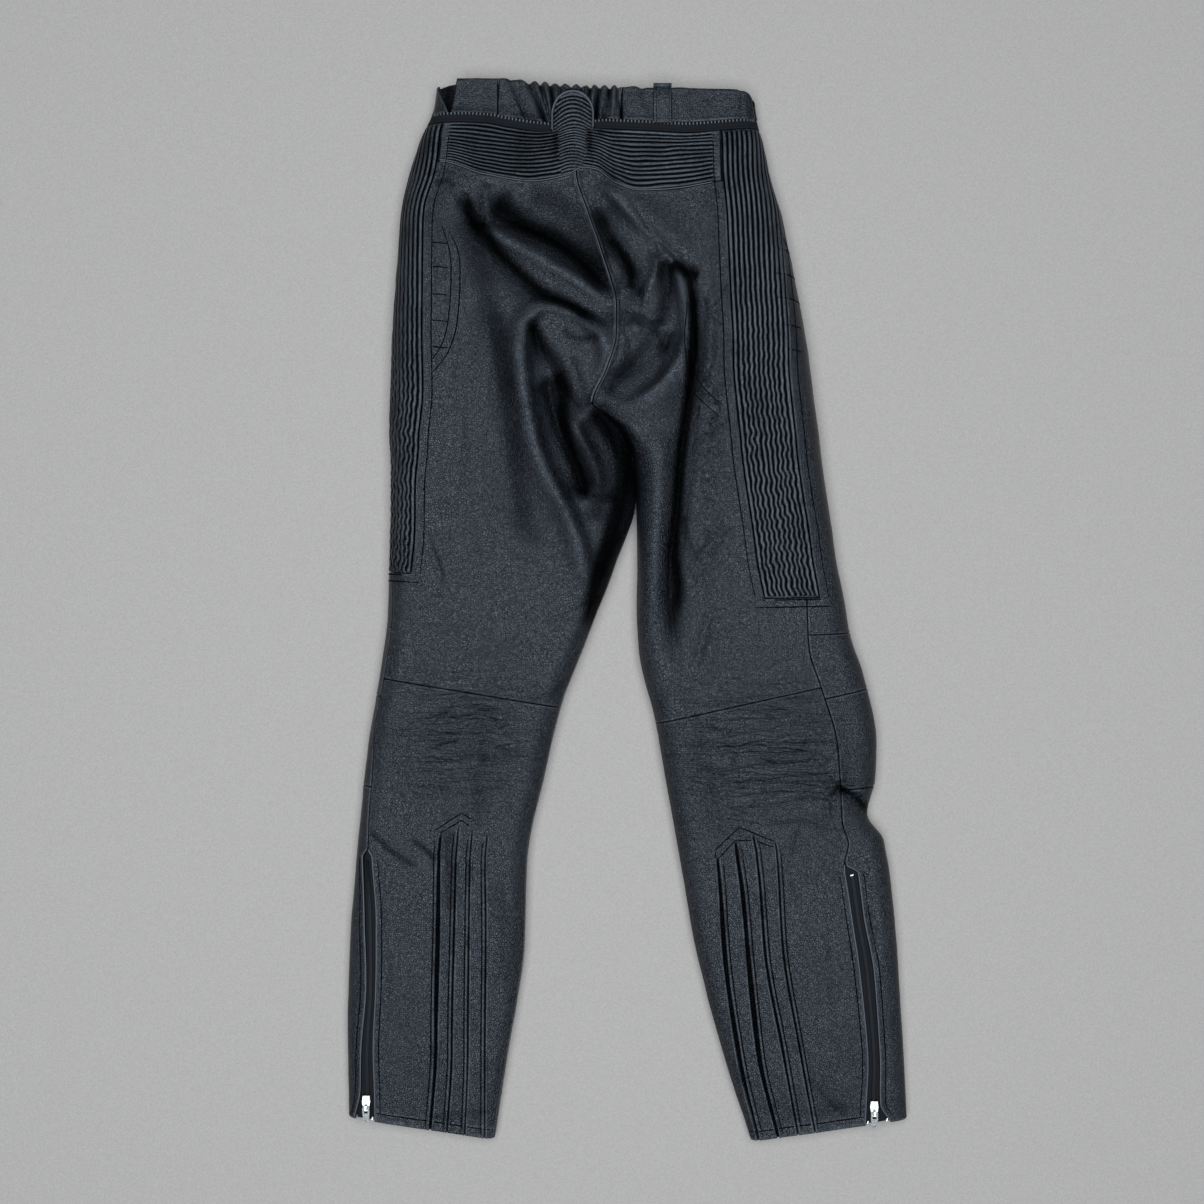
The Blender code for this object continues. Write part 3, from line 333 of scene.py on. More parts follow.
# Lesser creases, softened to nothing at their ends. Columns: height, width, points of x and drop.
CREASES = (
    (-1.6, 3.0, ((-201, 453), (-187, 486), (-184, 501))),
    (1.6, 4.5, ((-196, 448), (-181, 482), (-177, 503))),
    (2.4, 6.0, ((-54, 348), (-32, 381), (-25, 400))),
    (-2.0, 4.0, ((66, 473), (78, 453), (104, 440))),
    (1.8, 4.0, ((62, 490), (80, 466), (106, 452))),
    (-1.8, 4.0, ((82, 526), (75, 554), (63, 593))),
    (1.6, 5.0, ((90, 530), (84, 560), (72, 600))),
    (-1.6, 2.5, ((172, 740), (195, 746), (221, 753))),
    (-1.3, 2.5, ((172, 740), (166, 760), (164, 778))),
    (-1.4, 3.0, ((207, 646), (180, 660), (162, 678))),
    (-1.4, 2.5, ((-257, 748), (-226, 779), (-206, 788))),
    (-1.4, 2.5, ((-211, 757), (-198, 770), (-191, 779))),
    (1.2, 4.0, ((-214, 751), (-200, 762), (-188, 772))),
    (-1.5, 5.0, ((-215, 640), (-160, 628), (-95, 640))),
    (1.1, 5.0, ((-225, 655), (-150, 652), (-100, 668))),
    (-1.3, 4.0, ((-228, 690), (-170, 700), (-120, 690))),
    (-1.3, 4.5, ((-225, 722), (-180, 716), (-130, 728))),
    (-1.4, 5.0, ((50, 668), (110, 655), (180, 648))),
    (1.2, 5.0, ((60, 684), (120, 676), (190, 664))),
    (-1.4, 4.0, ((70, 705), (120, 700), (175, 690))),
    (-1.2, 4.0, ((75, 730), (130, 726), (185, 716))),
    (-2.2, 5.0, ((-175, 108), (-160, 130), (-140, 168))),
    (1.6, 6.0, ((-193, 130), (-185, 190), (-188, 260))),
    (-1.6, 6.0, ((-170, 250), (-165, 330), (-172, 420))),
    (1.4, 7.0, ((-150, 330), (-148, 420), (-135, 500))),
    (-1.5, 6.0, ((95, 130), (88, 180), (92, 230))),
    (2.2, 5.0, ((-15, 240), (-4, 262), (-9, 290))),
    (-2.0, 5.0, ((20, 236), (36, 262), (26, 300))),
    (1.8, 5.0, ((48, 262), (58, 300), (52, 345))),
    (-1.8, 4.0, ((76, 200), (72, 260), (66, 320))),
    (1.5, 4.0, ((84, 210), (80, 280), (72, 350))),
    (-1.6, 4.5, ((66, 330), (60, 400), (52, 470))),
    (1.2, 4.0, ((-70, 548), (-110, 560), (-160, 566))),
    (-1.2, 4.0, ((-60, 560), (-110, 574), (-170, 578))),
    (-1.4, 4.0, ((20, 590), (60, 602), (120, 600))),
    (1.3, 4.5, ((25, 603), (70, 616), (130, 612))),
    (-1.6, 5.0, ((-20, 505), (-50, 530), (-100, 540))),
    (-1.3, 4.0, ((230, 795), (245, 840), (240, 900))),
    (-1.1, 5.0, ((-250, 800), (-240, 880), (-243, 960))),
    (1.0, 6.0, ((-160, 800), (-168, 880), (-170, 960))),
    (-1.0, 5.0, ((200, 820), (205, 900), (215, 980))),
)

# Zones where the leather has fine creases. Columns: centre x, centre drop, half width, half height, depth.
KNEE_ZONES = ((-160, 655, 110, 95, 0.9), (130, 675, 120, 100, 1.0))
TANGLE_ZONES = (
    *((80, 330, 26, 170, 1.0), (-14, 235, 30, 40, 0.4), (60, 500, 50, 70, 0.5), (190, 640, 50, 90, 0.4)),
    *((-196, 130, 22, 50, 0.6), (-170, 95, 40, 24, 0.6), (205, 705, 40, 40, 0.6), (90, 120, 26, 30, 0.6)),
)


def through(place_, table, column):
    """A smooth curve through a table's column: cubic pieces whose slopes never overshoot."""
    table = np.asarray(table, float)
    knots, values = table[:, 0], table[:, column]
    step = np.diff(knots)
    rise = np.diff(values) / step
    slope = np.concatenate([rise[:1], np.zeros(len(rise) - 1), rise[-1:]])
    turning = rise[:-1] * rise[1:] > 0
    slope[1:-1][turning] = (2 * rise[:-1] * rise[1:] / (rise[:-1] + rise[1:] + 1e-12))[turning]
    place_ = np.clip(place_, knots[0], knots[-1])
    k = np.clip(np.searchsorted(knots, place_, side="right") - 1, 0, len(step) - 1)
    f = (place_ - knots[k]) / step[k]
    before = (1 + 2 * f) * (1 - f) ** 2 * values[k] + f * (1 - f) ** 2 * step[k] * slope[k]
    after = f * f * (3 - 2 * f) * values[k + 1] + f * f * (f - 1) * step[k] * slope[k + 1]
    return before + after


def ease(value, start, end):
    """0 before start, 1 after end, and smooth between."""
    f = np.clip((value - start) / (end - start), 0, 1)
    return f * f * (3 - 2 * f)


def bell(value, width):
    """1 at zero, falling smoothly on both sides."""
    return np.exp(-((value / width) ** 2))


def distances(points):
    """How far along a line each of its points lies."""
    return np.concatenate([[0], np.cumsum(np.linalg.norm(np.diff(points, axis=0), axis=1))])


def read_along(spots, along, line):
    """Points of a line, or its directions, at distances along it."""
    return np.stack([np.interp(spots, along, line[:, k]) for k in range(3)], 1)


def path_points(points, count=36):
    """Points along a smooth line through a few points: cubic pieces with slopes from the neighbours."""
    points = np.asarray(points, float)
    along = distances(points)
    slope = np.gradient(points, along, axis=0)
    spot = np.linspace(0, along[-1], count)
    k = np.clip(np.searchsorted(along, spot, side="right") - 1, 0, len(along) - 2)
    step = np.diff(along)[k]
    f = ((spot - along[k]) / step)[:, None]
    step = step[:, None]
    before = (1 + 2 * f) * (1 - f) ** 2 * points[k] + f * (1 - f) ** 2 * step * slope[k]
    return before + f * f * (3 - 2 * f) * points[k + 1] + f * f * (f - 1) * step * slope[k + 1]


def near_line(x, drop, points, width):
    """Distance to a smooth line, how far along it, and the side, positive on the right of its way down
    the garment's drawing, for the places that lie near it."""
    line = path_points(points)
    low, high = line.min(0) - 3 * width, line.max(0) + 3 * width
    near = (x > low[0]) & (x < high[0]) & (drop > low[1]) & (drop < high[1])
    nx, nd = x[near], drop[near]
    best, along, side = np.full(nx.shape, 1e9), np.zeros(nx.shape), np.zeros(nx.shape)
    for k, (a, b) in enumerate(zip(line[:-1], line[1:])):
        step = b - a
        f = np.clip(((nx - a[0]) * step[0] + (nd - a[1]) * step[1]) / (step @ step), 0, 1)
        away = (nx - a[0] - f * step[0]) ** 2 + (nd - a[1] - f * step[1]) ** 2
        turn = step[0] * (nd - a[1]) - step[1] * (nx - a[0])
        closer = away < best
        best[closer], along[closer] = away[closer], ((k + f) / (len(line) - 1))[closer]
        side[closer] = turn[closer]
    return near, np.sqrt(best), along, side


def fold_height(x, drop):
    """Sum of the large folds. Across its line each is a bell, or where it is sharp a V that levels out,
    and its two sides have their own widths. It fades out at both ends."""
    total = np.zeros_like(x, float)
    for height, left, right, sharp, points in FOLDS:
        near, away, along, side = near_line(x, drop, points, max(left, right))
        width = np.where(side > 0, right, left)
        vee = np.exp(-(np.sqrt(away**2 + FOLD_BEND**2) - FOLD_BEND) / width)
        fade = ease(np.minimum(along, 1 - along), 0.0, 0.14)
        total[near] += height * fade * (sharp * vee + (1 - sharp) * bell(away, width))
    return total


def crease_height(x, drop):
    """Sum of the lesser creases: a bell across each, fading out at both ends."""
    total = np.zeros_like(x, float)
    for height, width, points in CREASES:
        near, away, along, _ = near_line(x, drop, points, width)
        total[near] += height * bell(away, width) * np.sin(math.pi * np.clip(along, 0.02, 0.98)) ** 0.6
    return total


def lattice(x, y, seed):
    """Smooth noise from 0 to 1: fixed values at whole numbers, eased between."""
    xi, yi = np.floor(x), np.floor(y)
    fx, fy = x - xi, y - yi
    fx, fy = fx * fx * (3 - 2 * fx), fy * fy * (3 - 2 * fy)

    def corner(i, j):
        """The fixed value at one corner of each place's square."""
        wave = np.sin((xi + i) * 127.1 + (yi + j) * 311.7 + seed * 74.7) * 43758.5453
        return wave - np.floor(wave)

    top = corner(0, 0) * (1 - fx) + corner(1, 0) * fx
    low = corner(0, 1) * (1 - fx) + corner(1, 1) * fx
    return top * (1 - fy) + low * fy


def zone(x, drop, table):
    """How far places lie inside a table's zones, from 0 to 1."""
    total = np.zeros_like(x, float)
    for cx, cd, wide, high, *depth in table:
        total += (depth[0] if depth else 1.0) * bell(np.hypot((x - cx) / wide, (drop - cd) / high), 0.75)
    return np.minimum(total, 1)


def averaged(values, reach):
    """Mean of a map over a square of places around each one, from running sums."""
    for axis in (0, 1):
        padded = np.pad(values, [(reach + 1, reach) if k == axis else (0, 0) for k in (0, 1)], mode="edge")
        sums = np.cumsum(padded, axis=axis)
        count = sums.shape[axis]
        ahead = np.take(sums, np.arange(2 * reach + 1, count), axis=axis)
        values = (ahead - np.take(sums, np.arange(0, count - 2 * reach - 1), axis=axis)) / (2 * reach + 1)
    return values


def hollows(x, drop):
    """Painted shade, from 0 to 1, where places lie below the leather around them: the mean height nearby
    less their own, near and far, and a share of how steep they are, deepened along the strokes of SHADES."""
    high = FORM.heights
    down, across = np.gradient(high)
    steep = averaged(np.hypot(down, across), 2)
    close, wide = averaged(averaged(high, 5), 5) - high, averaged(averaged(high, 14), 14) - high
    sunk = np.maximum(ease(close, 0.4, 2.4), ease(wide, 1.5, 6.0)) + 0.4 * ease(steep, 0.45, 1.1)
    lit = 1 - 0.75 * np.clip(sunk, 0, 1)
    for strength, left, right, points in SHADES:
        near, away, along, side = near_line(x, drop, points, max(left, right))
        fade = ease(np.minimum(along, 1 - along), 0.0, 0.12)
        lit[near] *= 1 - strength * fade * np.exp(-((away / np.where(side > 0, right, left)) ** 2.6))
    return 1 - lit


def crests():
    """How far places stand above the leather around them, from 0 to 1."""
    high = FORM.heights
    return ease(high - averaged(averaged(high, 11), 11), 0.5, 4.5)


def lumps(x, drop):
    """Slow unevenness of leather that has been worn."""
    return 1.3 * (lattice(x / 37, drop / 45, 7) - 0.5) + 0.4 * (lattice(x / 14, drop / 16, 8) - 0.5)


class Relief:
    """Heights worked out once for each whole millimetre of the garment, and read in between them."""

    def __init__(self, heights_of):
        x, drop = np.meshgrid(np.arange(MAP_LEFT, 320.0), np.arange(MAP_TOP, 1100.0))
        self.heights = heights_of(x, drop)

    def at(self, x, drop):
        """The height at any places, read between the four nearest."""
        rows, columns = self.heights.shape
        across = np.clip(x - MAP_LEFT, 0, columns - 1.001)
        down = np.clip(drop - MAP_TOP, 0, rows - 1.001)
        i, j = down.astype(int), across.astype(int)
        f, g = down - i, across - j
        upper = self.heights[i, j] * (1 - g) + self.heights[i, j + 1] * g
        lower = self.heights[i + 1, j] * (1 - g) + self.heights[i + 1, j + 1] * g
        return upper * (1 - f) + lower * f


class Row:
    """The sizes of the rows of one half, for an array of row numbers."""

    def __init__(self, half, row):
        table = ROWS[half]
        self.outer = np.stack([through(row, table, 1), through(row, table, 2)], -1)
        self.inner = np.stack([through(row, table, 3), through(row, table, 4)], -1)
        self.inner[..., 0] += HALF_APART if half == "right" else -HALF_APART
        self.width = np.linalg.norm(self.inner - self.outer, axis=-1)
        self.across = (self.inner - self.outer) / self.width[..., None]
        self.top, self.edge, self.round, self.under = (through(row, BUILD, k) for k in (1, 2, 3, 4))
        self.closed = through(row, CLOSING, 1)
        self.inner_round, self.inner_under = self.round * self.closed + 1e-6, self.under * self.closed + 1e-6
        self.over = self.width + (math.pi / 2 - 1) * (self.round + self.inner_round)
        self.beneath = self.width + (math.pi / 2 - 1) * (self.under + self.inner_under)


def reach_of(half, row, distance):
    """The reach of a place on the top that lies a plain distance in from the outer edge."""
    r = Row(half, row)
    near = r.round * np.arccos(np.clip(1 - distance / r.round, -1, 1))
    far = r.over - r.inner_round * np.arccos(np.clip(1 - (r.width - distance) / r.inner_round, -1, 1))
    middle = r.round * (math.pi / 2 - 1) + distance
    return np.where(distance < r.round, near, np.where(r.width - distance < r.inner_round, far, middle))


def quarter(length, radius):
    """The angle that a length of leather takes round a rounded side, up to a quarter turn."""
    return np.clip(length / radius, 0, math.pi / 2)


def place(half, row, reach, rise):
    """Points of the tube in millimetres: a quarter ellipse at each side, folds on the top and a flat
    underside. A rise lifts a point off the surface."""
    r = Row(half, row)
    reach = np.where(reach < -r.beneath, reach + r.over + r.beneath, reach)
    on_top = reach >= 0

    a, b = quarter(reach, r.round), quarter(r.over - reach, r.inner_round)
    middle = reach - r.round * (math.pi / 2 - 1)
    inward = np.where(a < math.pi / 2, r.round * (1 - np.cos(a)), middle)
    inward = np.where(b < math.pi / 2, r.width - r.inner_round * (1 - np.cos(b)), inward)
    flat = r.outer + r.across * inward[..., None]
    lift = np.sin(a) * (1 - r.closed * (1 - np.sin(b)))
    high = r.top + FORM.at(flat[..., 0], flat[..., 1])
    top_z = r.edge + (np.maximum(high, LOWEST_TOP) - r.edge) * lift
    side = r.closed * np.cos(b) - np.cos(a)

    below = -reach
    c, d = quarter(below, r.under), quarter(r.beneath - below, r.inner_under)
    under_in = np.where(c < math.pi / 2, r.under * (1 - np.cos(c)), below - r.under * (math.pi / 2 - 1))
    under_in = np.where(d < math.pi / 2, r.width - r.inner_under * (1 - np.cos(d)), under_in)
    under_z = r.edge * (1 - np.sin(c)) + r.closed * r.edge * (1 - np.sin(d))

    side = np.where(on_top, side, r.closed * np.cos(d) - np.cos(c))
    up = np.sqrt(np.clip(1 - side**2, 0, 1)) * np.where(on_top, 1, -1)
    inward = np.where(on_top, inward, under_in) + rise * side
    z = np.where(on_top, top_z, under_z) + rise * up
    spot = r.outer + r.across * inward[..., None]
    sag = through(spot[..., 0], WAIST_SAG, 1) * bell(spot[..., 1] - 46, 17)
    return np.stack([spot[..., 0], LENGTH / 2 - spot[..., 1] - sag * on_top, z], -1)


FORM = Relief(lambda x, drop: fold_height(x, drop) + crease_height(x, drop))
FINE = Relief(lumps)
# Painted shade for the sunken places and the shade strokes; CREST marks the crests that get a painted
# highlight.
SHADE_MAP = Relief(hollows)
CREST = Relief(lambda x, drop: crests())
ACROSS = Relief(lambda x, drop: zone(x, drop, KNEE_ZONES))
TANGLE = Relief(lambda x, drop: zone(x, drop, TANGLE_ZONES))


def on_top_share(half, row, reach):
    """1 on the top and 0 underneath, changing over a few millimetres of the outer edge."""
    beneath = Row(half, row).beneath
    return np.maximum(ease(reach, -3, 6), 1 - ease(reach, -beneath - 6, -beneath + 3))


def skin(half, row, reach, rise=0.0, calm=1.0):
    """Points in metres on the leather's outside, with fine cracks and lumps. Underneath, they only
    dent the leather inwards, so it still rests flat. calm scales them."""
    row, reach = np.broadcast_arrays(np.asarray(row, float), np.asarray(reach, float))
    spot = place(half, row, reach, 0.0)
    x, drop = spot[..., 0], LENGTH / 2 - spot[..., 1]
    fine = calm * FINE.at(x, drop)
    top = on_top_share(half, row, reach)
    rise = (rise + fine) * top - np.abs(fine) * (1 - top) + np.minimum(rise, 0) * (1 - top)
    return place(half, row, reach, rise) * MM, rise


def back_reach(x, drop):
    """Half, row and reach for places over the back of the hips, where rows lie straight across."""
    centre = through(drop, ROWS["left"], 3)
    return [
        (half, here, reach_of(half, drop, np.abs(x - through(drop, ROWS[half], 1))))
        for half, here in (("left", x <= centre), ("right", x > centre))
    ]


def back_skin(x, drop, rise=0.0, calm=1.0):
    """Points in metres over the back of the hips, from x and drop."""
    x, drop = np.broadcast_arrays(np.asarray(x, float), np.asarray(drop, float))
    rise = np.broadcast_to(rise, x.shape)
    points, height = np.zeros((*x.shape, 3)), np.zeros(x.shape)
    for half, here, reach in back_reach(x, drop):
        found, lifted = skin(half, drop, reach, rise, calm)
        points[here], height[here] = found[here], lifted[here]
    return points, height


def plain_back(x, drop, rise):
    """Points in metres of a plain surface over the back of the hips."""
    points = np.zeros((*np.shape(x), 3))
    for half, here, reach in back_reach(x, drop):
        points[here] = (place(half, drop, reach, rise) * MM)[here]
    return points


def add_mesh(name, points, faces, material, uv=None, marks=None, smooth=True):
    """A mesh object from arrays of points and of faces with three or four corners each."""
    mesh = bpy.data.meshes.new(name)
    faces = np.asarray(faces)
    mesh.vertices.add(len(points))
    mesh.vertices.foreach_set("co", np.asarray(points, float).ravel())
    mesh.loops.add(faces.size)
    mesh.loops.foreach_set("vertex_index", faces.ravel())
    mesh.polygons.add(len(faces))
    mesh.polygons.foreach_set("loop_start", np.arange(0, faces.size, faces.shape[1]))
    mesh.update(calc_edges=True)
    mesh.polygons.foreach_set("use_smooth", np.full(len(faces), smooth))
    if uv is not None:
        layer = mesh.uv_layers.new(name="cloth")
        layer.data.foreach_set("uv", np.asarray(uv)[faces.ravel()].ravel())
    for mark, values in (marks or {}).items():
        mesh.attributes.new(mark, "FLOAT", "POINT").data.foreach_set("value", np.asarray(values, float))
    mesh.validate()
    made = bpy.data.objects.new(name, mesh)
    bpy.context.scene.collection.objects.link(made)
    mesh.materials.append(material)
    return made


def wall(name, outside, inside, material, keep=None, uv=None, marks=None):
    """A closed wall between two grids of points, cut to the cells that keep marks. The rim joins each
    edge that has a cell on one side only."""
    rows, columns = outside.shape[:2]
    keep = np.ones((rows - 1, columns - 1), bool) if keep is None else keep
    r, c = np.nonzero(keep)
    corner = r * columns + c
    outer = np.stack([corner, corner + 1, corner + columns + 1, corner + columns], 1)
    count = rows * columns
    inner = outer[:, ::-1] + count
    start, end = outer.ravel(), np.roll(outer, -1, 1).ravel()
    alone = ~np.isin(end * count + start, start * count + end)
    start, end = start[alone], end[alone]
    rim = np.stack([end, start, start + count, end + count], 1)
    faces = np.concatenate([outer, inner, rim])
    a, b, d = outside[r, c], outside[r, c + 1], outside[r + 1, c]
    facing = np.sum(np.cross(b - a, d - a) * (outside[r, c] - inside[r, c]))
    faces = faces if facing > 0 else faces[:, ::-1]
    used, packed = np.unique(faces.ravel(), return_inverse=True)
    points = np.concatenate([outside.reshape(-1, 3), inside.reshape(-1, 3)])[used]
    marks = {
        mark: np.tile(np.broadcast_to(values, (rows, columns)).ravel(), 2)[used]
        for mark, values in (marks or {}).items()
    }
    uv = np.tile(uv.reshape(-1, 2), (2, 1))[used] * MM
    return add_mesh(name, points, packed.reshape(faces.shape), material, uv, marks)


def cloth_piece(made, node, plain):
    """Attaches the piece to the garment and hides the solid it stands for. plain, the flat cut, is not used."""
    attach(made, "garment")
    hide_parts(node)
    return made


NEAR = np.array((0, 0.5, 1.1, 1.9, 2.9, 4.2))
STRIP_NEAR = np.array((0, 0.5, 1.1, 1.9, 2.9, 4.2, 5.8, 7.4, 8.4, 9.2, 10.0, 11.0, 12.6))


def spread(width, step, first=NEAR, last=NEAR):
    """Shares and offsets of columns between two edges, close together near both for the seams."""
    count = max(2, int(round((width - first[-1] - last[-1]) / step)))
    middle = np.arange(1, count) / count
    share = np.concatenate([0 * first, middle, 1 + 0 * last])
    return share, np.concatenate([first, first[-1] * (1 - middle) - last[-1] * middle, -last[::-1]])


def graded(start, end, step):
    """Columns between two arrays of reaches, close together near both edges."""
    start, end = np.broadcast_arrays(start, end)
    start, gap = start[:, None], (end - start)[:, None]
    share, offset = spread(np.abs(gap).max(), step)
    small = np.minimum(1, np.abs(gap) / (2.4 * NEAR[-1]))
    return start + gap * share + np.sign(gap) * small * offset


def row_steps(start, end, step):
    """Row numbers from start to end, close together at both ends for the seams."""
    count = max(2, int(round((end - start - 2 * NEAR[-1]) / step)))
    middle = np.linspace(start + NEAR[-1], end - NEAR[-1], count + 1)
    return np.concatenate([start + NEAR[:-1], middle, end - NEAR[-2::-1]])


# The first is the width of the painted shade along each seam.
SEAM_SHADE_WIDTH = 0.35
NO_EDGE = 9.0
FAR_OFF = 99


def rolled(distance, depth=0.45, width=0.6, lip=0.4):
    """An edge turned down into its seam, with a rounded lip beside it."""
    return lip * bell(distance - 1.9, 1.2) - depth * bell(distance, width)


def seam_reach(half, row, table):
    """Reach of a seam that a table places on the top."""
    return reach_of(half, row, through(row, table, 1))


def zip_seam(half, row, column):
    """Reach of an outer seam that is the side seam down to the zip, and then one side of the zip."""
    side = seam_reach(half, row, SIDE_SEAM[half])
    zip_side = reach_of(half, row, through(row, ZIP_SIDES[half], column))
    return side + (zip_side - side) * ease(row, ZIP_START[half] - 4, ZIP_START[half] + 6)


def back_seam(half, row):
    """Reach of the calf panel's outer seam, on the zip's back side."""
    return zip_seam(half, row, 1)


def front_seam(half, row):
    """Reach of the front panels' outer seam, on the zip's front side."""
    return zip_seam(half, row, 2)


def on_row(seam, half, row, *table):
    """The reach of a seam on one row."""
    return seam(half, np.array([row]), *table)[0]


def inner_seam(half, row):
    """Reach of the inseam on the back, a little under the leg below the crotch."""
    return Row(half, row).over - INSEAM_WRAP[half] * ease(row, WRAP_START, WRAP_FULL)


def floor_seam(half, row):
    """Reach of the front panels' inner seam: under the leg and round to the inseam."""
    return -Row(half, row).beneath - INSEAM_WRAP[half] * ease(row, WRAP_START, WRAP_FULL)


def edge_distance(row, reach, left, right):
    """Distance from each point of a panel to its nearest edge, along rows and across them."""
    across = np.minimum(np.abs(reach - left), np.abs(right - reach))
    down = np.minimum(row - row.min(0), row.max(0) - row)
    return np.minimum(across, down)


def leather_wall(name, half, row, reach, material, rise, edge, **more):
    """A leather piece of one half, with its wall turned down at the edges. more may hold thickness,
    calm, keep, the painted shade and the wear from rubbing with its painted highlights."""
    thickness, calm = more.get("thickness", LEATHER_THICK), more.get("calm", 1.0)
    outside, height = skin(half, row, reach, rise, calm)
    inside = place(half, row, reach, np.minimum(height, 0) - thickness) * MM
    plain = place(half, row, reach, 0.0)
    x, drop = plain[..., 0], LENGTH / 2 - plain[..., 1]
    top = on_top_share(half, row, reach)
    # The seam mark paints shade along the seams.
    marks = {"seam": bell(edge, SEAM_SHADE_WIDTH)}
    marks["across"] = ACROSS.at(x, drop) * top
    marks["tangle"] = TANGLE.at(x, drop) * top
    marks["hollow"] = np.maximum(SHADE_MAP.at(x, drop) * top, more.get("hollow", 0))
    # shine paints a highlight on the crests; with the edge line it is laid over wear from rubbing.
    shine = 0.35 * CREST.at(x, drop) * top
    marks["rubbed"] = np.maximum(np.maximum(0.9 * bell(edge - 1.3, 0.5), shine), more.get("rubbed", 0))
    uv = np.stack([reach, row], -1)
    made = wall(name, outside, inside, material, more.get("keep"), uv, marks)
    return made, plain * MM


def shader_group(name, inputs, outputs):
    """An empty shader group with float or vector sockets."""
    kinds = {"float": "NodeSocketFloat", "vector": "NodeSocketVector"}
    group = bpy.data.node_groups.new(name, "ShaderNodeTree")
    for label, kind, value in inputs:
        made = group.interface.new_socket(label, in_out="INPUT", socket_type=kinds[kind])
        if value is not None:
            made.default_value = value
    for label, kind in outputs:
        group.interface.new_socket(label, in_out="OUTPUT", socket_type=kinds[kind])
    return group, group.nodes.new("NodeGroupInput"), group.nodes.new("NodeGroupOutput")


def node(tree, kind, values=(), **settings):
    """A node with its settings, and with values or links for its inputs."""
    made = tree.nodes.new(kind)
    for key, value in settings.items():
        setattr(made, key, value)
    for key, value in dict(values).items():
        socket = made.inputs[key]
        if isinstance(value, bpy.types.NodeSocket):
            tree.links.new(value, socket)
        else:
            socket.default_value = value
    return made


def ramp(tree, value, low, high):
    """value from low to high becomes 0 to 1."""
    made = node(tree, "ShaderNodeMapRange", {"Value": value, "From Min": low, "From Max": high})
    made.interpolation_type = "SMOOTHSTEP"
    return made.outputs["Result"]


def maths(tree, how, a, b=0.0):
    """One sum of two values or links."""
    return node(tree, "ShaderNodeMath", {0: a, 1: b}, operation=how).outputs[0]


def mixed(tree, share, a, b):
    """The colour that lies a share of the way from a to b."""
    made = tree.nodes.new("ShaderNodeMix")
    made.data_type = "RGBA"
    for key, value in ((0, share), (6, a), (7, b)):
        if isinstance(value, bpy.types.NodeSocket):
            tree.links.new(value, made.inputs[key])
        else:
            made.inputs[key].default_value = value
    return made.outputs[2]


def grain_group():
    """Leather grain: round pebbles with pores between, and longer fine creases over them. Wear is a
    slow cloud."""
    inputs = [("Vector", "vector", None), ("Size", "float", 500.0), ("Creases", "float", 0.5)]
    outputs = [("Height", "float"), ("Wear", "float"), ("Pores", "float")]
    group, put, out = shader_group("leather grain", inputs, outputs)
    vector, size = put.outputs["Vector"], put.outputs["Size"]
    soft = node(group, "ShaderNodeTexNoise", {"Vector": vector, "Scale": 260.0, "Detail": 3.0})
    moved = shifted(group, vector, soft.outputs["Color"], 0.0016)
    small = {"Vector": moved, "Scale": size, "Randomness": 0.9}
    cell = node(group, "ShaderNodeTexVoronoi", small, feature="DISTANCE_TO_EDGE")
    pebble = ramp(group, cell.outputs["Distance"], 0.0, 0.22)
    long = node(group, "ShaderNodeTexVoronoi", {"Vector": moved, "Scale": 190.0}, feature="DISTANCE_TO_EDGE")
    line = ramp(group, long.outputs["Distance"], 0.0, 0.07)
    deep = maths(group, "MULTIPLY", maths(group, "SUBTRACT", 1.0, line), put.outputs["Creases"])
    slow = {"Vector": vector, "Scale": 34.0, "Detail": 5.0, "Roughness": 0.6}
    cloud = node(group, "ShaderNodeTexNoise", slow)
    height = maths(group, "SUBTRACT", maths(group, "ADD", pebble, soft.outputs["Fac"]), deep)
    group.links.new(height, out.inputs["Height"])
    group.links.new(cloud.outputs["Fac"], out.inputs["Wear"])
    patches = ramp(group, soft.outputs["Fac"], 0.35, 0.65)
    pores = maths(group, "MULTIPLY", maths(group, "SUBTRACT", 1.0, pebble), patches)
    group.links.new(maths(group, "MAXIMUM", pores, maths(group, "MULTIPLY", deep, 0.8)), out.inputs["Pores"])
    return group


def shifted(tree, vector, noise, distance):
    """A place moved by a colour noise, so that straight patterns become natural ones."""
    shift = node(tree, "ShaderNodeVectorMath", {0: noise}, operation="SCALE")
    shift.inputs["Scale"].default_value = distance
    return node(tree, "ShaderNodeVectorMath", {0: vector, 1: shift.outputs[0]}, operation="ADD").outputs[0]


def thin_line(tree, value, power):
    """A thin line where smooth noise crosses its middle value."""
    spread_ = maths(tree, "ABSOLUTE", maths(tree, "SUBTRACT", maths(tree, "MULTIPLY", value, 2.0), 1.0))
    return maths(tree, "POWER", maths(tree, "SUBTRACT", 1.0, spread_), power)


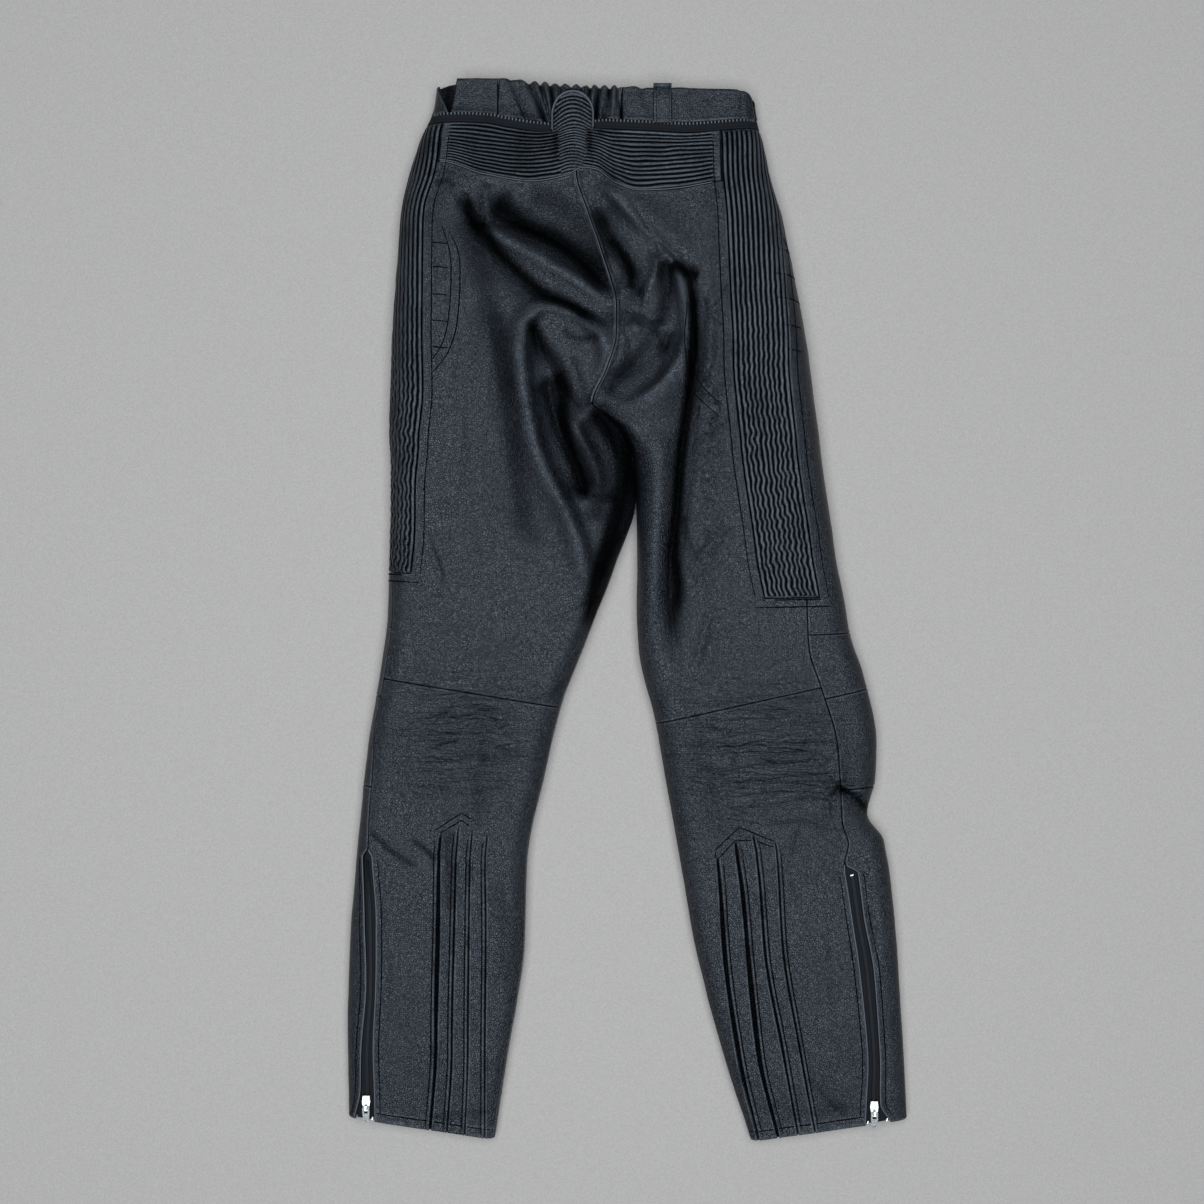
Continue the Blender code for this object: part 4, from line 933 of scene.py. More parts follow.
def crease_group():
    """Fine creases pressed in by wear: long ones across the knees where Across is 1, and a tangle of
    short ones where Tangle is 1. Height is negative in them, and Depth is their mask."""
    inputs = [("Vector", "vector", None), ("Across", "float", 0.0), ("Tangle", "float", 0.0)]
    group, put, out = shader_group("worn creases", inputs, [("Height", "float"), ("Depth", "float")])
    vector = put.outputs["Vector"]
    bend = node(group, "ShaderNodeTexNoise", {"Vector": vector, "Scale": 22.0, "Detail": 2.0})
    moved = shifted(group, vector, bend.outputs["Color"], 0.014)
    total = None
    for wide, long, weight in ((12.0, 133.0, 1.15), (27.0, 240.0, 0.85)):
        way = node(group, "ShaderNodeVectorMath", {0: moved, 1: (wide, long, wide)}, operation="MULTIPLY")
        noise = node(group, "ShaderNodeTexNoise", {"Vector": way.outputs[0], "Scale": 1.0, "Detail": 0.4})
        line = maths(group, "MULTIPLY", thin_line(group, noise.outputs["Fac"], 13.0), weight)
        total = line if total is None else maths(group, "ADD", total, line)
    across = maths(group, "MULTIPLY", total, put.outputs["Across"])
    tangle = None
    for scale, weight in ((58.0, 0.8), (120.0, 0.8)):
        noise = node(group, "ShaderNodeTexNoise", {"Vector": moved, "Scale": scale, "Detail": 2.0})
        line = maths(group, "MULTIPLY", thin_line(group, noise.outputs["Fac"], 9.0), weight)
        tangle = line if tangle is None else maths(group, "ADD", tangle, line)
    tangled = maths(group, "MULTIPLY", tangle, put.outputs["Tangle"])
    depth = maths(group, "ADD", across, tangled)
    group.links.new(maths(group, "MULTIPLY", depth, -1.0), out.inputs["Height"])
    group.links.new(depth, out.inputs["Depth"])
    return group


def new_material(name):
    """A material with nodes, its tree, and its Principled shader."""
    made = bpy.data.materials.new(name)
    made.use_nodes = True
    return made, made.node_tree, made.node_tree.nodes["Principled BSDF"]


def darker(colour, share):
    """The colour with each part taken down to a share of itself."""
    return [c * share for c in colour[:3]] + [1]


def roughened(tree, shader, height, strength, distance):
    """Gives the shader a fine relief."""
    bumped = node(tree, "ShaderNodeBump", {"Height": height, "Strength": strength, "Distance": distance})
    tree.links.new(bumped.outputs["Normal"], shader.inputs["Normal"])
    return bumped


def leather(name, colour, rough, creases=0.5, bump=0.8):
    """Black leather: grain, cloudy wear in colour and gloss, creases, paler edges and crests from wear
    with painted highlights, and painted shade in sunken places, creases and seams, black and metallic
    so that it gives back no light."""
    made, tree, shader = new_material(name)
    where = node(tree, "ShaderNodeTexCoord").outputs["Object"]
    grain = node(tree, "ShaderNodeGroup", node_tree=GRAIN)
    lines = node(tree, "ShaderNodeGroup", node_tree=CREASED)
    for group in (grain, lines):
        tree.links.new(where, group.inputs["Vector"])
    grain.inputs["Creases"].default_value = creases
    marks = {m: node(tree, "ShaderNodeAttribute", attribute_name=m).outputs["Fac"] for m in MARKS}
    tree.links.new(marks["across"], lines.inputs["Across"])
    tree.links.new(marks["tangle"], lines.inputs["Tangle"])
    cloud = grain.outputs["Wear"]
    worn = maths(tree, "MULTIPLY", ramp(tree, cloud, 0.42, 0.72), 0.4)
    rubbed = maths(tree, "MULTIPLY", marks["rubbed"], ramp(tree, cloud, 0.3, 0.6))
    # Painted shade: the fine creases, the seams and the sunken places turn black and metallic below.
    cracks = maths(tree, "MULTIPLY", lines.outputs["Depth"], 0.55)
    pores = maths(tree, "MULTIPLY", grain.outputs["Pores"], 0.42)
    sunk = maths(tree, "MAXIMUM", marks["seam"], marks["hollow"])
    dark = maths(tree, "MAXIMUM", sunk, maths(tree, "MAXIMUM", cracks, pores))
    dark = maths(tree, "MINIMUM", dark, 0.96)
    tone = mixed(tree, rubbed, mixed(tree, worn, colour, WORN), RUBBED_AND_HIGHLIGHT)
    # dark paints shade: a black base colour and full metal, so these places give back no light.
    tree.links.new(mixed(tree, dark, tone, IN_SHADE), shader.inputs["Base Color"])
    tree.links.new(dark, shader.inputs["Metallic"])
    gloss = node(tree, "ShaderNodeMapRange", {"Value": cloud, "From Min": 0.3, "From Max": 0.7})
    gloss.inputs["To Min"].default_value = rough - 0.05
    gloss.inputs["To Max"].default_value = rough + 0.09
    tree.links.new(gloss.outputs["Result"], shader.inputs["Roughness"])
    creased = {"Height": lines.outputs["Height"], "Strength": 0.5, "Distance": 0.0009}
    folded = node(tree, "ShaderNodeBump", creased)
    bumped = roughened(tree, shader, grain.outputs["Height"], bump, 0.0004)
    tree.links.new(folded.outputs["Normal"], bumped.inputs["Normal"])
    shader.inputs["Specular IOR Level"].default_value = 0.51
    return made


def woven(name, colour, pitch, rough=0.85, shine=0.12):
    """Woven tape: two sets of fine threads at right angles, read from the cloth's own map."""
    made, tree, shader = new_material(name)
    uv = node(tree, "ShaderNodeUVMap", uv_map="cloth").outputs["UV"]
    waves = []
    for way in ("X", "Y"):
        wave = node(tree, "ShaderNodeTexWave", {"Vector": uv, "Scale": 0.314 / pitch}, bands_direction=way)
        waves.append(wave.outputs["Fac"])
    height = maths(tree, "MULTIPLY", waves[0], waves[1])
    tree.links.new(mixed(tree, height, darker(colour, 0.5), colour), shader.inputs["Base Color"])
    shader.inputs["Roughness"].default_value = rough
    shader.inputs["Specular IOR Level"].default_value = shine
    roughened(tree, shader, height, 0.5, 0.0003)
    return made


def metal(name, colour, rough):
    """Plated metal with fine scratches and dull patches."""
    made, tree, shader = new_material(name)
    where = node(tree, "ShaderNodeTexCoord").outputs["Object"]
    patch = node(tree, "ShaderNodeTexNoise", {"Vector": where, "Scale": 420.0, "Detail": 6.0}).outputs["Fac"]
    dull = ramp(tree, patch, 0.45, 0.75)
    tree.links.new(mixed(tree, dull, colour, darker(colour, 0.55)), shader.inputs["Base Color"])
    rougher = node(tree, "ShaderNodeMapRange", {"Value": dull, "To Min": rough, "To Max": rough + 0.25})
    tree.links.new(rougher.outputs["Result"], shader.inputs["Roughness"])
    roughened(tree, shader, patch, 0.2, 0.0002)
    shader.inputs["Metallic"].default_value = 1.0
    return made


def matt(name, colour, rough, scale=900.0, shine=0.3):
    """Thread or moulded plastic: one dull colour with a fine uneven surface."""
    made, tree, shader = new_material(name)
    where = node(tree, "ShaderNodeTexCoord").outputs["Object"]
    fuzz = node(tree, "ShaderNodeTexNoise", {"Vector": where, "Scale": scale, "Detail": 4.0}).outputs["Fac"]
    tree.links.new(mixed(tree, fuzz, darker(colour, 0.6), colour), shader.inputs["Base Color"])
    shader.inputs["Roughness"].default_value = rough
    shader.inputs["Specular IOR Level"].default_value = shine
    roughened(tree, shader, fuzz, 0.4, 0.0002)
    return made


GRAIN = grain_group()
CREASED = crease_group()
MARKS = ("seam", "hollow", "across", "tangle", "rubbed")
WORN = (0.013, 0.0135, 0.0145, 1)
# Pale tone for wear from rubbing, which also paints highlights on edges, folds and crests.
RUBBED_AND_HIGHLIGHT = (0.062, 0.067, 0.075, 1)
IN_SHADE = (0.0008, 0.0008, 0.0009, 1)
HIDE = leather("back hide", (0.0040, 0.0058, 0.0090, 1), 0.36)
RIBBED_HIDE = leather("ribbed hide", (0.0045, 0.0065, 0.0098, 1), 0.34, creases=0.2, bump=0.55)
BAND_HIDE = leather("waistband hide", (0.0040, 0.0058, 0.0090, 1), 0.40, creases=0.35, bump=0.6)
TAPE = woven("zip tape", (0.009, 0.009, 0.0102, 1), 0.0008, shine=0.2)
# Black thread for the stitches; the same black paints the shade cords in the stitch grooves.
THREAD_AND_GROOVE_SHADE = matt("sewing thread and groove shade", (0.0022, 0.0024, 0.0028, 1), 0.85, shine=0.04)
TEETH = matt("zip teeth", (0.008, 0.008, 0.009, 1), 0.45, 300.0, shine=0.3)
PALE_TEETH = matt("moulded teeth", (0.07, 0.073, 0.078, 1), 0.45, 300.0, shine=0.5)
# Pale finish of the piping cords: wear, and a painted highlight on the rolled edges.
PIPING_HIGHLIGHT = matt("rubbed piping", (0.060, 0.063, 0.067, 1), 0.42, 500.0, shine=0.6)
STEEL = metal("zip metal", (0.50, 0.48, 0.45, 1), 0.26)


def stretch_relief(half, row, reach, inner):
    """Raised strip that frames the ribs, stitched down along both sides."""
    away = np.abs(reach - inner)
    beside = ease(row, 60, 70) * (1 - ease(row, STRETCH_END[half] + 9, STRETCH_END[half] + 11))
    return 0.6 * (1 - ease(away, 8.5, 10.5)) * beside


def back_leg(half):
    """Seat and back thigh: one panel from the yoke to the knee seam, with a notch where the stretch
    panel ends. Rows between the yoke and the leg's top fan out from the yoke's curved seam."""
    notch, knee = STRETCH_END[half] + SEAM_GAP / 2, BACK_KNEE_ROW[half] - SEAM_GAP / 2
    hip = np.concatenate([NEAR[:-1] / HIP_LENGTH, np.linspace(NEAR[-1] / HIP_LENGTH, 1, 92)[:-1]])
    rows = np.concatenate([np.linspace(LEG_TOP, notch, 74)[:-1], row_steps(notch, knee, LEG_ROWS)])
    share, offset = spread(Row(half, np.array(LEG_TOP)).over, LEG_COLUMNS, STRIP_NEAR)
    row = np.concatenate([LEG_TOP + (hip - 1) * HIP_FALL, rows])[:, None] + 0 * share
    for _ in range(4):
        stretch = seam_reach(half, row, STRETCH_SEAM[half]) + SEAM_GAP / 2
        side = seam_reach(half, row, SIDE_SEAM[half]) + SEAM_GAP / 2
        level = seam_reach(half, np.full_like(row, notch), STRETCH_SEAM[half]) + SEAM_GAP / 2
        corner = np.where(row <= notch, stretch, np.maximum(level, side + 8))
        reach = corner + (inner_seam(half, row) - SEAM_GAP / 2 - corner) * share + offset
        top = through(place(half, row[:1], reach[:1], 0.0)[..., 0], YOKE_SEAM, 1) + YOKE_GAP
        row[: len(hip)] = top + (LEG_TOP - top) * hip[:, None]
    steps = np.concatenate([NEAR / 90, np.linspace(0.08, 1, 22)[:-1]])
    strip = side[:, :1] + (reach[:, :1] - side[:, :1]) * steps
    full_reach = np.concatenate([strip, reach], 1)
    full_row = np.concatenate([row[:, :1] + 0 * steps, row], 1)
    keep = np.ones((len(row) - 1, full_reach.shape[1] - 1), bool)
    upper = row[:-1, 0] < notch - 0.01
    keep[upper, : len(steps)] = False
    in_strip = np.arange(full_reach.shape[1]) < len(steps)
    left = np.where(full_row < notch - 0.01, reach[:, :1], full_reach[:, :1])
    sides = np.minimum(np.abs(full_reach - left), np.abs(reach[:, -1:] - full_reach))
    edge = np.minimum(sides, np.minimum(full_row - full_row[:1], full_row[-1:] - full_row))
    edge = np.where(in_strip, np.minimum(edge, np.abs(full_row - notch)), edge)
    rise = rolled(edge) + stretch_relief(half, full_row, full_reach, reach[:, :1])
    centre = reach[:, -1:] - full_reach
    rise = rise + 0.8 * bell(centre - 1.6, 1.6) * (1 - ease(full_row, 312, 336))
    made, plain = leather_wall(
        f"back_leg_skin_{half}", half, full_row, full_reach, HIDE, rise, edge, keep=keep
    )
    cloth_piece(made, f"back_leg_{half}", plain)


def pleat_lines(half, row):
    """For each pleat, from the outer edge inwards: its distance in from that edge, and half its
    opening, which starts as a point, is widest halfway and closes to a slit at the hem."""
    found = []
    for table, width, start in zip(PLEATS[half], PLEAT_WIDTH[half], PLEAT_START[half]):
        line = through(row, list(zip(PLEAT_ROWS[half], table)), 1)
        down = np.clip((row - start) / (HEM_ROW[half] - start), 0, 1)
        swell = np.sqrt(np.sin(math.pi * (0.10 + 0.80 * down)))
        swell = swell * (0.85 + 0.3 * lattice(row / 50, 0 * row, start))
        found.append((line, np.maximum(width / 2 * swell, 0.5), ease(row, start - 1, start + 2)))
    return sorted(found, key=lambda pleat: pleat[0].ravel()[0])


def calf(half):
    """Back of the lower leg with its four pleats: sunk slots with painted shade, between rolled
    folded edges that are worn and carry painted highlights.
    Columns of the grid follow each slot's two edges."""
    knee, hem = BACK_KNEE_ROW[half] + SEAM_GAP / 2, HEM_ROW[half]
    rows = row_steps(knee, hem, CALF_ROWS)
    begin = back_seam(half, rows) + SEAM_GAP / 2
    last = inner_seam(half, rows) - SEAM_GAP / 2
    beside = np.array((3.6, 2.6, 1.8, 1.1, 0.5, 0.05))
    columns, slots = [], []
    for line, opening, shown in pleat_lines(half, rows):
        edges = [line - opening - n for n in beside] + [line - opening + 0.4, line, line + opening - 0.4]
        edges += [line + opening + n for n in beside[::-1]]
        spots = [reach_of(half, rows, spot) for spot in edges]
        count = max(2, int(round((spots[0] - begin).max() / CALF_COLUMNS)))
        if columns:
            columns += [begin + (spots[0] - begin) * k / count for k in range(1, count)]
        else:
            columns += list(graded(begin, spots[0], CALF_COLUMNS)[:, :-1].T)
        columns += spots
        slots += [(reach_of(half, rows, line), opening, shown)]
        begin = spots[-1]
    columns += list(graded(begin, last, CALF_COLUMNS)[:, 1:].T)
    reach = np.stack(columns, 1)
    row = rows[:, None] + np.zeros_like(reach)
    deep, fold = np.zeros_like(reach), np.zeros_like(reach)
    for line, opening, shown in slots:
        beyond = np.abs(reach - line[:, None]) - opening[:, None]
        deep = np.maximum(deep, shown[:, None] * (1 - ease(beyond, -0.35, 0.05)))
        fold += shown[:, None] * bell(beyond - 1.1, 0.9) * (beyond > 0)
    edge = edge_distance(row, reach, reach[:, :1], reach[:, -1:])
    hem_fold = 0.5 * ease(row, hem - 10, hem - 8)
    rise = rolled(edge) + 0.8 * fold - PLEAT_DEPTH * deep + hem_fold
    frayed = bell(row - hem + 1.5, 1.6) * lattice(reach / 4, row / 3, 50)
    rubbed = 0.9 * fold + 0.5 * bell(row - hem + 9.5, 0.8) + frayed
    # deep also paints shade in the slots; the folded edges and the hem fold get painted highlights, and the
    # hem's edge is frayed pale.
    made, plain = leather_wall(
        f"calf_skin_{half}", half, row, reach, HIDE, rise, edge, hollow=deep, rubbed=rubbed
    )
    cloth_piece(made, f"calf_{half}", plain)


def rounded_rib(phase):
    """One rib for each whole number: a broad round crest at 1 and a narrow stitched valley at 0."""
    return 1 - (1 - np.abs(np.sin(math.pi * phase))) ** 2.2


def rib_shade(phase):
    """The painted shade of a ribbed surface round each whole number, and the painted highlight on its crests
    between.
    """
    wave = np.abs(np.sin(math.pi * phase))
    return ease(1 - wave, 0.22, 0.62), 0.75 * ease(wave, 0.78, 1.0)


def stretch_panel(half):
    """Shirred ribs over elastic: rounded crests, deep narrow valleys, and a waver that grows down
    the leg where the elastic has pulled them up."""
    start, end = STRETCH_TOP + SEAM_GAP / 2, STRETCH_END[half] - SEAM_GAP
    rows = row_steps(start, end, STRETCH_ROWS)
    across = np.linspace(0, 1, STRETCH_RIBS * STRETCH_RIB_COLUMNS + 1)
    row = rows[:, None] + 0 * across
    inner = seam_reach(half, row, STRETCH_SEAM[half]) - SEAM_GAP / 2
    width = STRETCH_WIDTH - SEAM_GAP
    grow = ease(row, 120, 430)
    slow = (lattice(row / 9, across * 5 + 2, 3) - 0.5) * (0.25 + 0.75 * grow)
    zig = np.sin(row / 2.05 + 2.2 * np.sin(row / 41) + 5 * lattice(across * 4, row / 60, 4))
    waver = 0.5 * slow + 0.17 * grow * zig
    phase = across * STRETCH_RIBS + waver * np.minimum(1, 6 * np.minimum(across, 1 - across))
    crest = rounded_rib(phase)
    pucker = 0.22 * grow * np.sin(row / 1.9 + 3 * np.floor(phase)) + 0.5 * (lattice(row / 13, phase, 5) - 0.5)
    reach = inner - (1 - across) * width
    ends = np.minimum(row - start, end - row)
    fade = np.minimum(1, ends / 2.5)
    rise = (2.4 * crest * (1 + pucker * 0.6) - 1.8) * fade - 0.7 * (1 - fade)
    edge = np.minimum(np.minimum(across, 1 - across) * width, ends)
    # Painted shade in the valleys and over the whole left panel, and a painted highlight on the crests.
    valley, shine = rib_shade(phase)
    broad_shade = 0.2 * (half == "left")
    made, plain = leather_wall(
        f"stretch_skin_{half}", half, row, reach, RIBBED_HIDE, rise, edge, thickness=RIBBED_THICK,
        calm=0.4, hollow=1 - (1 - valley * fade) * (1 - broad_shade), rubbed=shine * fade,
    )
    cloth_piece(made, f"stretch_panel_{half}", plain)


def front_thigh(half):
    """Front of the upper leg from the waistband to the knee, with a hidden fly flap on the left."""
    notch, end = STRETCH_END[half], FRONT_KNEE_ROWS[half][0] - SEAM_GAP / 2
    rows = row_steps(BAND_END + SEAM_GAP, end, FRONT_STEP)
    stretch = seam_reach(half, rows, STRETCH_SEAM[half]) - STRETCH_WIDTH
    level = seam_reach(half, np.full_like(rows, notch), STRETCH_SEAM[half]) - STRETCH_WIDTH
    corner = np.where(rows <= notch, stretch, level)
    cut = int(np.argmin(np.abs(rows - notch)))
    rows[cut] = notch + 0.15
    inner = floor_seam(half, rows) + SEAM_GAP / 2
    reach = graded(corner - SEAM_GAP / 2, inner, FRONT_STEP)
    side = seam_reach(half, rows, SIDE_SEAM[half]) - SEAM_GAP / 2
    steps = np.concatenate([[0, 0.03, 0.08], np.linspace(0.15, 0.97, 9)])
    strip = side[:, None] + (reach[:, :1] - side[:, None]) * steps
    reach = np.concatenate([strip, reach], 1)
    row = rows[:, None] + np.zeros_like(reach)
    keep = np.ones((len(rows) - 1, reach.shape[1] - 1), bool)
    keep[:cut, : strip.shape[1]] = False
    left = np.where(row < notch, reach[:, strip.shape[1]][:, None], reach[:, :1])
    edge = np.minimum(np.abs(reach - left), np.abs(reach - reach[:, -1:]))
    edge = np.minimum(edge, np.minimum(row - rows[0], rows[-1] - row))
    rise = rolled(edge)
    made, plain = leather_wall(f"front_thigh_skin_{half}", half, row, reach, HIDE, rise, edge, keep=keep)
    cloth_piece(made, f"front_thigh_{half}", plain)
    if half == "left":
        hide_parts("fly_flap")


def front_lower(name, half, start, end):
    """A knee or shin piece, from the side seam under the leg and round to the inseam."""
    rows = row_steps(start + SEAM_GAP / 2, end, LOWER_ROWS)
    first, last = front_seam(half, rows) - SEAM_GAP / 2, floor_seam(half, rows) + SEAM_GAP / 2
    reach = graded(first, last, LOWER_COLUMNS)
    row = rows[:, None] + np.zeros_like(reach)
    edge = edge_distance(row, reach, reach[:, :1], reach[:, -1:])
    made, plain = leather_wall(f"{name}_skin_{half}", half, row, reach, HIDE, rolled(edge), edge)
    cloth_piece(made, f"{name}_{half}", plain)


def yoke():
    """Ribbed yoke. The ribs run across it, arch over the raised tongue at the middle, and are
    stacked arcs on the tongue itself, which lies over the waistband."""
    body = np.linspace(0, 1, YOKE_RIBS * YOKE_RIB_ROWS + 1)
    tongue = np.linspace(0, 1, 70)[1:]
    side = TONGUE_HALF * np.cos(np.linspace(math.pi, 0, 37))
    out = np.linspace(0, 1, 50)[:-1]
    share = np.concatenate([out - 1, 0 * side, 1 - out[::-1]])
    step = np.concatenate([0 * out, side, 0 * out])
    rows = np.concatenate([body, 1 + tongue])
    drop = np.full((len(rows), len(share)), YOKE_TOP)
    for _ in range(3):
        left = through(drop, ROWS["left"], 1) + through(drop, STRETCH_SEAM["left"], 1) + SEAM_GAP * 1.5
        right = through(drop, ROWS["right"], 1) - through(drop, STRETCH_SEAM["right"], 1) - SEAM_GAP / 2
        first, last = TONGUE_X - TONGUE_HALF, TONGUE_X + TONGUE_HALF
        x = np.where(share < 0, first + (first - left) * share, last + (right - last) * share)
        x = np.where(share == 0, TONGUE_X + step, x)
        low = through(x, YOKE_SEAM, 1) - YOKE_GAP
        cap = TONGUE_SIDE_DROP - np.sqrt(np.clip(TONGUE_HALF**2 - (x - TONGUE_X) ** 2, 0, None))
        up = np.clip(rows - 1, 0, 1)[:, None]
        drop = low + (YOKE_TOP + SEAM_GAP - low) * np.minimum(rows, 1)[:, None]
        drop = drop + (cap - YOKE_TOP - SEAM_GAP) * up
    keep = np.ones((len(rows) - 1, len(share) - 1), bool)
    keep[len(body) - 1 :, : len(out)] = False
    keep[len(body) - 1 :, -len(out) :] = False
    arch = 7 * bell(x - TONGUE_X, 17)
    pitch = (low - YOKE_TOP + arch) / YOKE_RIBS
    rib = (drop - YOKE_TOP + arch) / pitch + 0.35 * (lattice(x / 17, drop / 9, 11) - 0.5)
    off = np.abs(x - TONGUE_X)
    column = (drop < YOKE_TOP) | (off < 13.5 + 3 * lattice(drop / 4, 0 * x, 12) - 0.08 * (drop - YOKE_TOP))
    bowed = (drop - 0.022 * (x - TONGUE_X) ** 2) / 3.4 + 0.2 * (lattice(x / 9, drop / 5, 13) - 0.5)
    rib = np.where(column, bowed, rib)
    crest = rounded_rib(rib)
    beside = 1 - ease(off, TONGUE_HALF, TONGUE_HALF + 14)
    lift = TONGUE_LIFT * beside * (1 - ease(drop, YOKE_TOP, YOKE_TOP + 26))
    from_ends = np.minimum(x - left, right - x)
    smooth_strip = ease(from_ends, 7, 10)
    on_tongue = ease(YOKE_TOP - drop, 0, 4)
    rim = np.hypot(x - TONGUE_X, np.minimum(0, drop - TONGUE_SIDE_DROP))
    rim_away = np.where(on_tongue > 0, TONGUE_HALF - rim, FAR_OFF)
    above = np.where(on_tongue > 0, rim_away, drop - YOKE_TOP + 0 * x)
    edge = np.minimum(np.minimum(from_ends, low - drop), above)
    framed = smooth_strip * ease(rim_away, 1.5, 3.2)
    ribs = (np.where(column, 1.5, 2.3) * crest - 1.5) * framed
    piping = 1.2 * bell(rim_away - 1.3, 1.0)
    rise = ribs + piping + rolled(np.abs(edge), 0.7) + 0.2 * (1 - smooth_strip)
    outside, _ = back_skin(x, drop, rise + lift, calm=0.5)
    inside = plain_back(x, drop, lift - YOKE_THICK)
    uv = np.stack([x, drop], -1)
    # Painted shade in the rib valleys, beside the tongue and broadly over the left half; painted highlights
    # on the crests, edges and rim.
    valley, shine = rib_shade(rib)
    shadow = 0.75 * bell(off - 17, 4.5) * ease(drop, YOKE_TOP - 4, YOKE_TOP + 4) * (1 - ease(drop, 70, 92))
    broad_shade = 0.12 + 0.30 * (1 - ease(x, -92, -58)) * ease(x, -170, -150)
    marks = {"seam": 0 * edge, "hollow": 1 - (1 - np.maximum(valley * framed, shadow)) * (1 - broad_shade)}
    marks["rubbed"] = np.maximum(shine * framed, 0.9 * bell(np.minimum(edge, rim_away) - 1.3, 0.6))
    made = wall("yoke_skin", outside, inside, RIBBED_HIDE, keep, uv, marks)
    cloth_piece(made, "yoke", plain_back(x, drop, 0.0))


# Folds of the waistband. Columns: x at its top, x at its lower edge, height, half width.
BAND_FOLDS = (
    (-124, -104, 1.3, 4.0),
    (-116, -100, -1.5, 2.6),
    (-106, -88, 1.4, 4.0),
    (-98, -82, -3.0, 2.6),
    (-92, -79, 2.4, 3.0),
    (-87, -77, -2.6, 1.8),
    (-82, -75, 2.2, 2.6),
    (-77, -72, -2.4, 1.6),
    (-72, -70, 2.0, 2.2),
    (-67, -66, -2.2, 1.5),
    (-62, -62, 1.8, 2.2),
    (-56, -57, -2.0, 1.4),
    (-51, -52, 1.8, 2.2),
    (-46, -48, -2.0, 1.4),
    (-41, -44, 1.8, 2.0),
    (-37, -41, -2.4, 1.6),
    (-33, -37, 2.3, 2.4),
    (-28, -32, -3.0, 1.8),
    (-23, -27, 2.2, 2.6),
    (-18, -21, -2.6, 1.8),
    (-13, -15, 2.0, 2.6),
    (-10, -6, -2.2, 1.8),
    (6, 16, 1.2, 5.0),
    (14, 24, -1.2, 3.4),
    (-150, -138, 0.9, 8.0),
    (52, 66, 0.8, 9.0),
    (112, 113, -1.0, 2.6),
)


def band_folds(x, down):
    """Sum of the waistband's gathers: bells across lines that lean."""
    total = np.zeros_like(x)
    for top, low, height, width in BAND_FOLDS:
        line = top + (low - top) * down
        total += height * bell(x - line, width) * (0.75 + 0.25 * np.cos(down * 3 + top))
    return total


def band_steps(count):
    """Shares of the waistband's depth, close together at both edges."""
    return np.concatenate([[0, 0.02, 0.05, 0.08], np.linspace(0.12, 0.9, count), [0.93, 0.96, 0.98, 1]])


def back_band(name, node_name, first, last, step):
    """A length of the back waistband, folded over at its top edge and stitched below it."""
    down = band_steps(22)[:, None]
    count = int(abs(last[0] - first[0]) / step) + 8
    even = np.linspace(0, 1, count)
    across = even if last[0] < 100 else np.sin(even * math.pi / 2)
    left = first[0] + (first[1] - first[0]) * down
    right = last[0] + (last[1] - last[0]) * down
    x = left + (right - left) * across
    top = through(x, BAND_EDGE, 1)
    folds = band_folds(x, down)
    drop = top + (BAND_END - SEAM_GAP - top) * down - 0.9 * np.clip(folds, -1.5, 1.5) * (1 - down) ** 3
    depth = down * (BAND_END - top)
    edge = np.minimum(np.minimum(depth, BAND_END - drop), np.minimum(x - left, right - x))
    crack = 0.35 * bell(lattice(x / 5, drop / 17, 31) - 0.5, 0.09)
    elastic = ease(x, -64, -61) * (1 - ease(x, -44, -41)) * (1 - ease(depth, 16, 19)) * ease(depth, 2, 4)
    cords = 0.35 * np.sin(x * 2.6) * elastic
    rise = folds * (1 - 0.8 * elastic) + rolled(edge, 0.8, 1.4) - crack + cords - 1.0 * elastic + 0.35
    outside, height = back_skin(x, drop, rise, calm=0.3)
    inside = plain_back(x, drop, np.minimum(height, 0) - LEATHER_THICK)
    uv = np.stack([x, drop], -1)
    # Painted shade in the troughs of the gathers and in patches darker towards the lower edge; painted
    # highlights on the edges and gather crests.
    low = ease(depth, 19, 33) * lattice(x / 14, depth / 9, 33) * (0.75 - 0.35 * ease(x, 40, 60))
    marks = {"seam": bell(edge, SEAM_SHADE_WIDTH), "hollow": np.maximum(ease(-folds, 0.3, 2.0), low)}
    marks["rubbed"] = np.maximum(0.6 * bell(edge - 1.3, 0.6), 0.3 * ease(folds, 0.8, 2.2))
    marks["tangle"] = np.full_like(edge, 0.4)
    made = wall(name, outside, inside, BAND_HIDE, None, uv, marks)
    cloth_piece(made, node_name, plain_back(x, drop, 0.0))


def front_band(half, start_reach):
    """The waistband round the side of the hip and along the hidden front."""
    rows = band_steps(18)
    row = rows * (BAND_END - SEAM_GAP)
    start = np.interp(rows, (0, 1), start_reach)
    reach = graded(start, SEAM_GAP / 2 - Row(half, row).beneath, 3.0)
    x = place(half, row[:, None] + 0 * reach, reach, 0.0)[..., 0]
    top = through(x, BAND_EDGE, 1)
    if half == "left":
        top = top + 4.5 * bell(reach - reach[:, :1], 3.0) * (reach > 0)
    beneath = (reach < -1) * (half == "left")
    full = top + (BAND_END - SEAM_GAP - top) * rows[:, None]
    edge = edge_distance(full, reach, reach[:, :1], reach[:, -1:])
    crack = 0.35 * bell(lattice(reach / 5, full / 17, 32) - 0.5, 0.09)
    curl = 1.6 * bell(reach - reach[:, :1], 3.0) * (half == "left")
    rise = rolled(edge, 0.8, 1.2) - crack + 0.35 + curl
    # Painted shade on the underside at the left end, seen in the gap beside the curl.
    inner = 0.92 * beneath * bell(x + 180, 14)
    made, plain = leather_wall(
        f"front_band_skin_{half}", half, full, reach, BAND_HIDE, rise, edge, calm=0.4, hollow=inner
    )
    cloth_piece(made, f"waistband_front_{half}", plain)


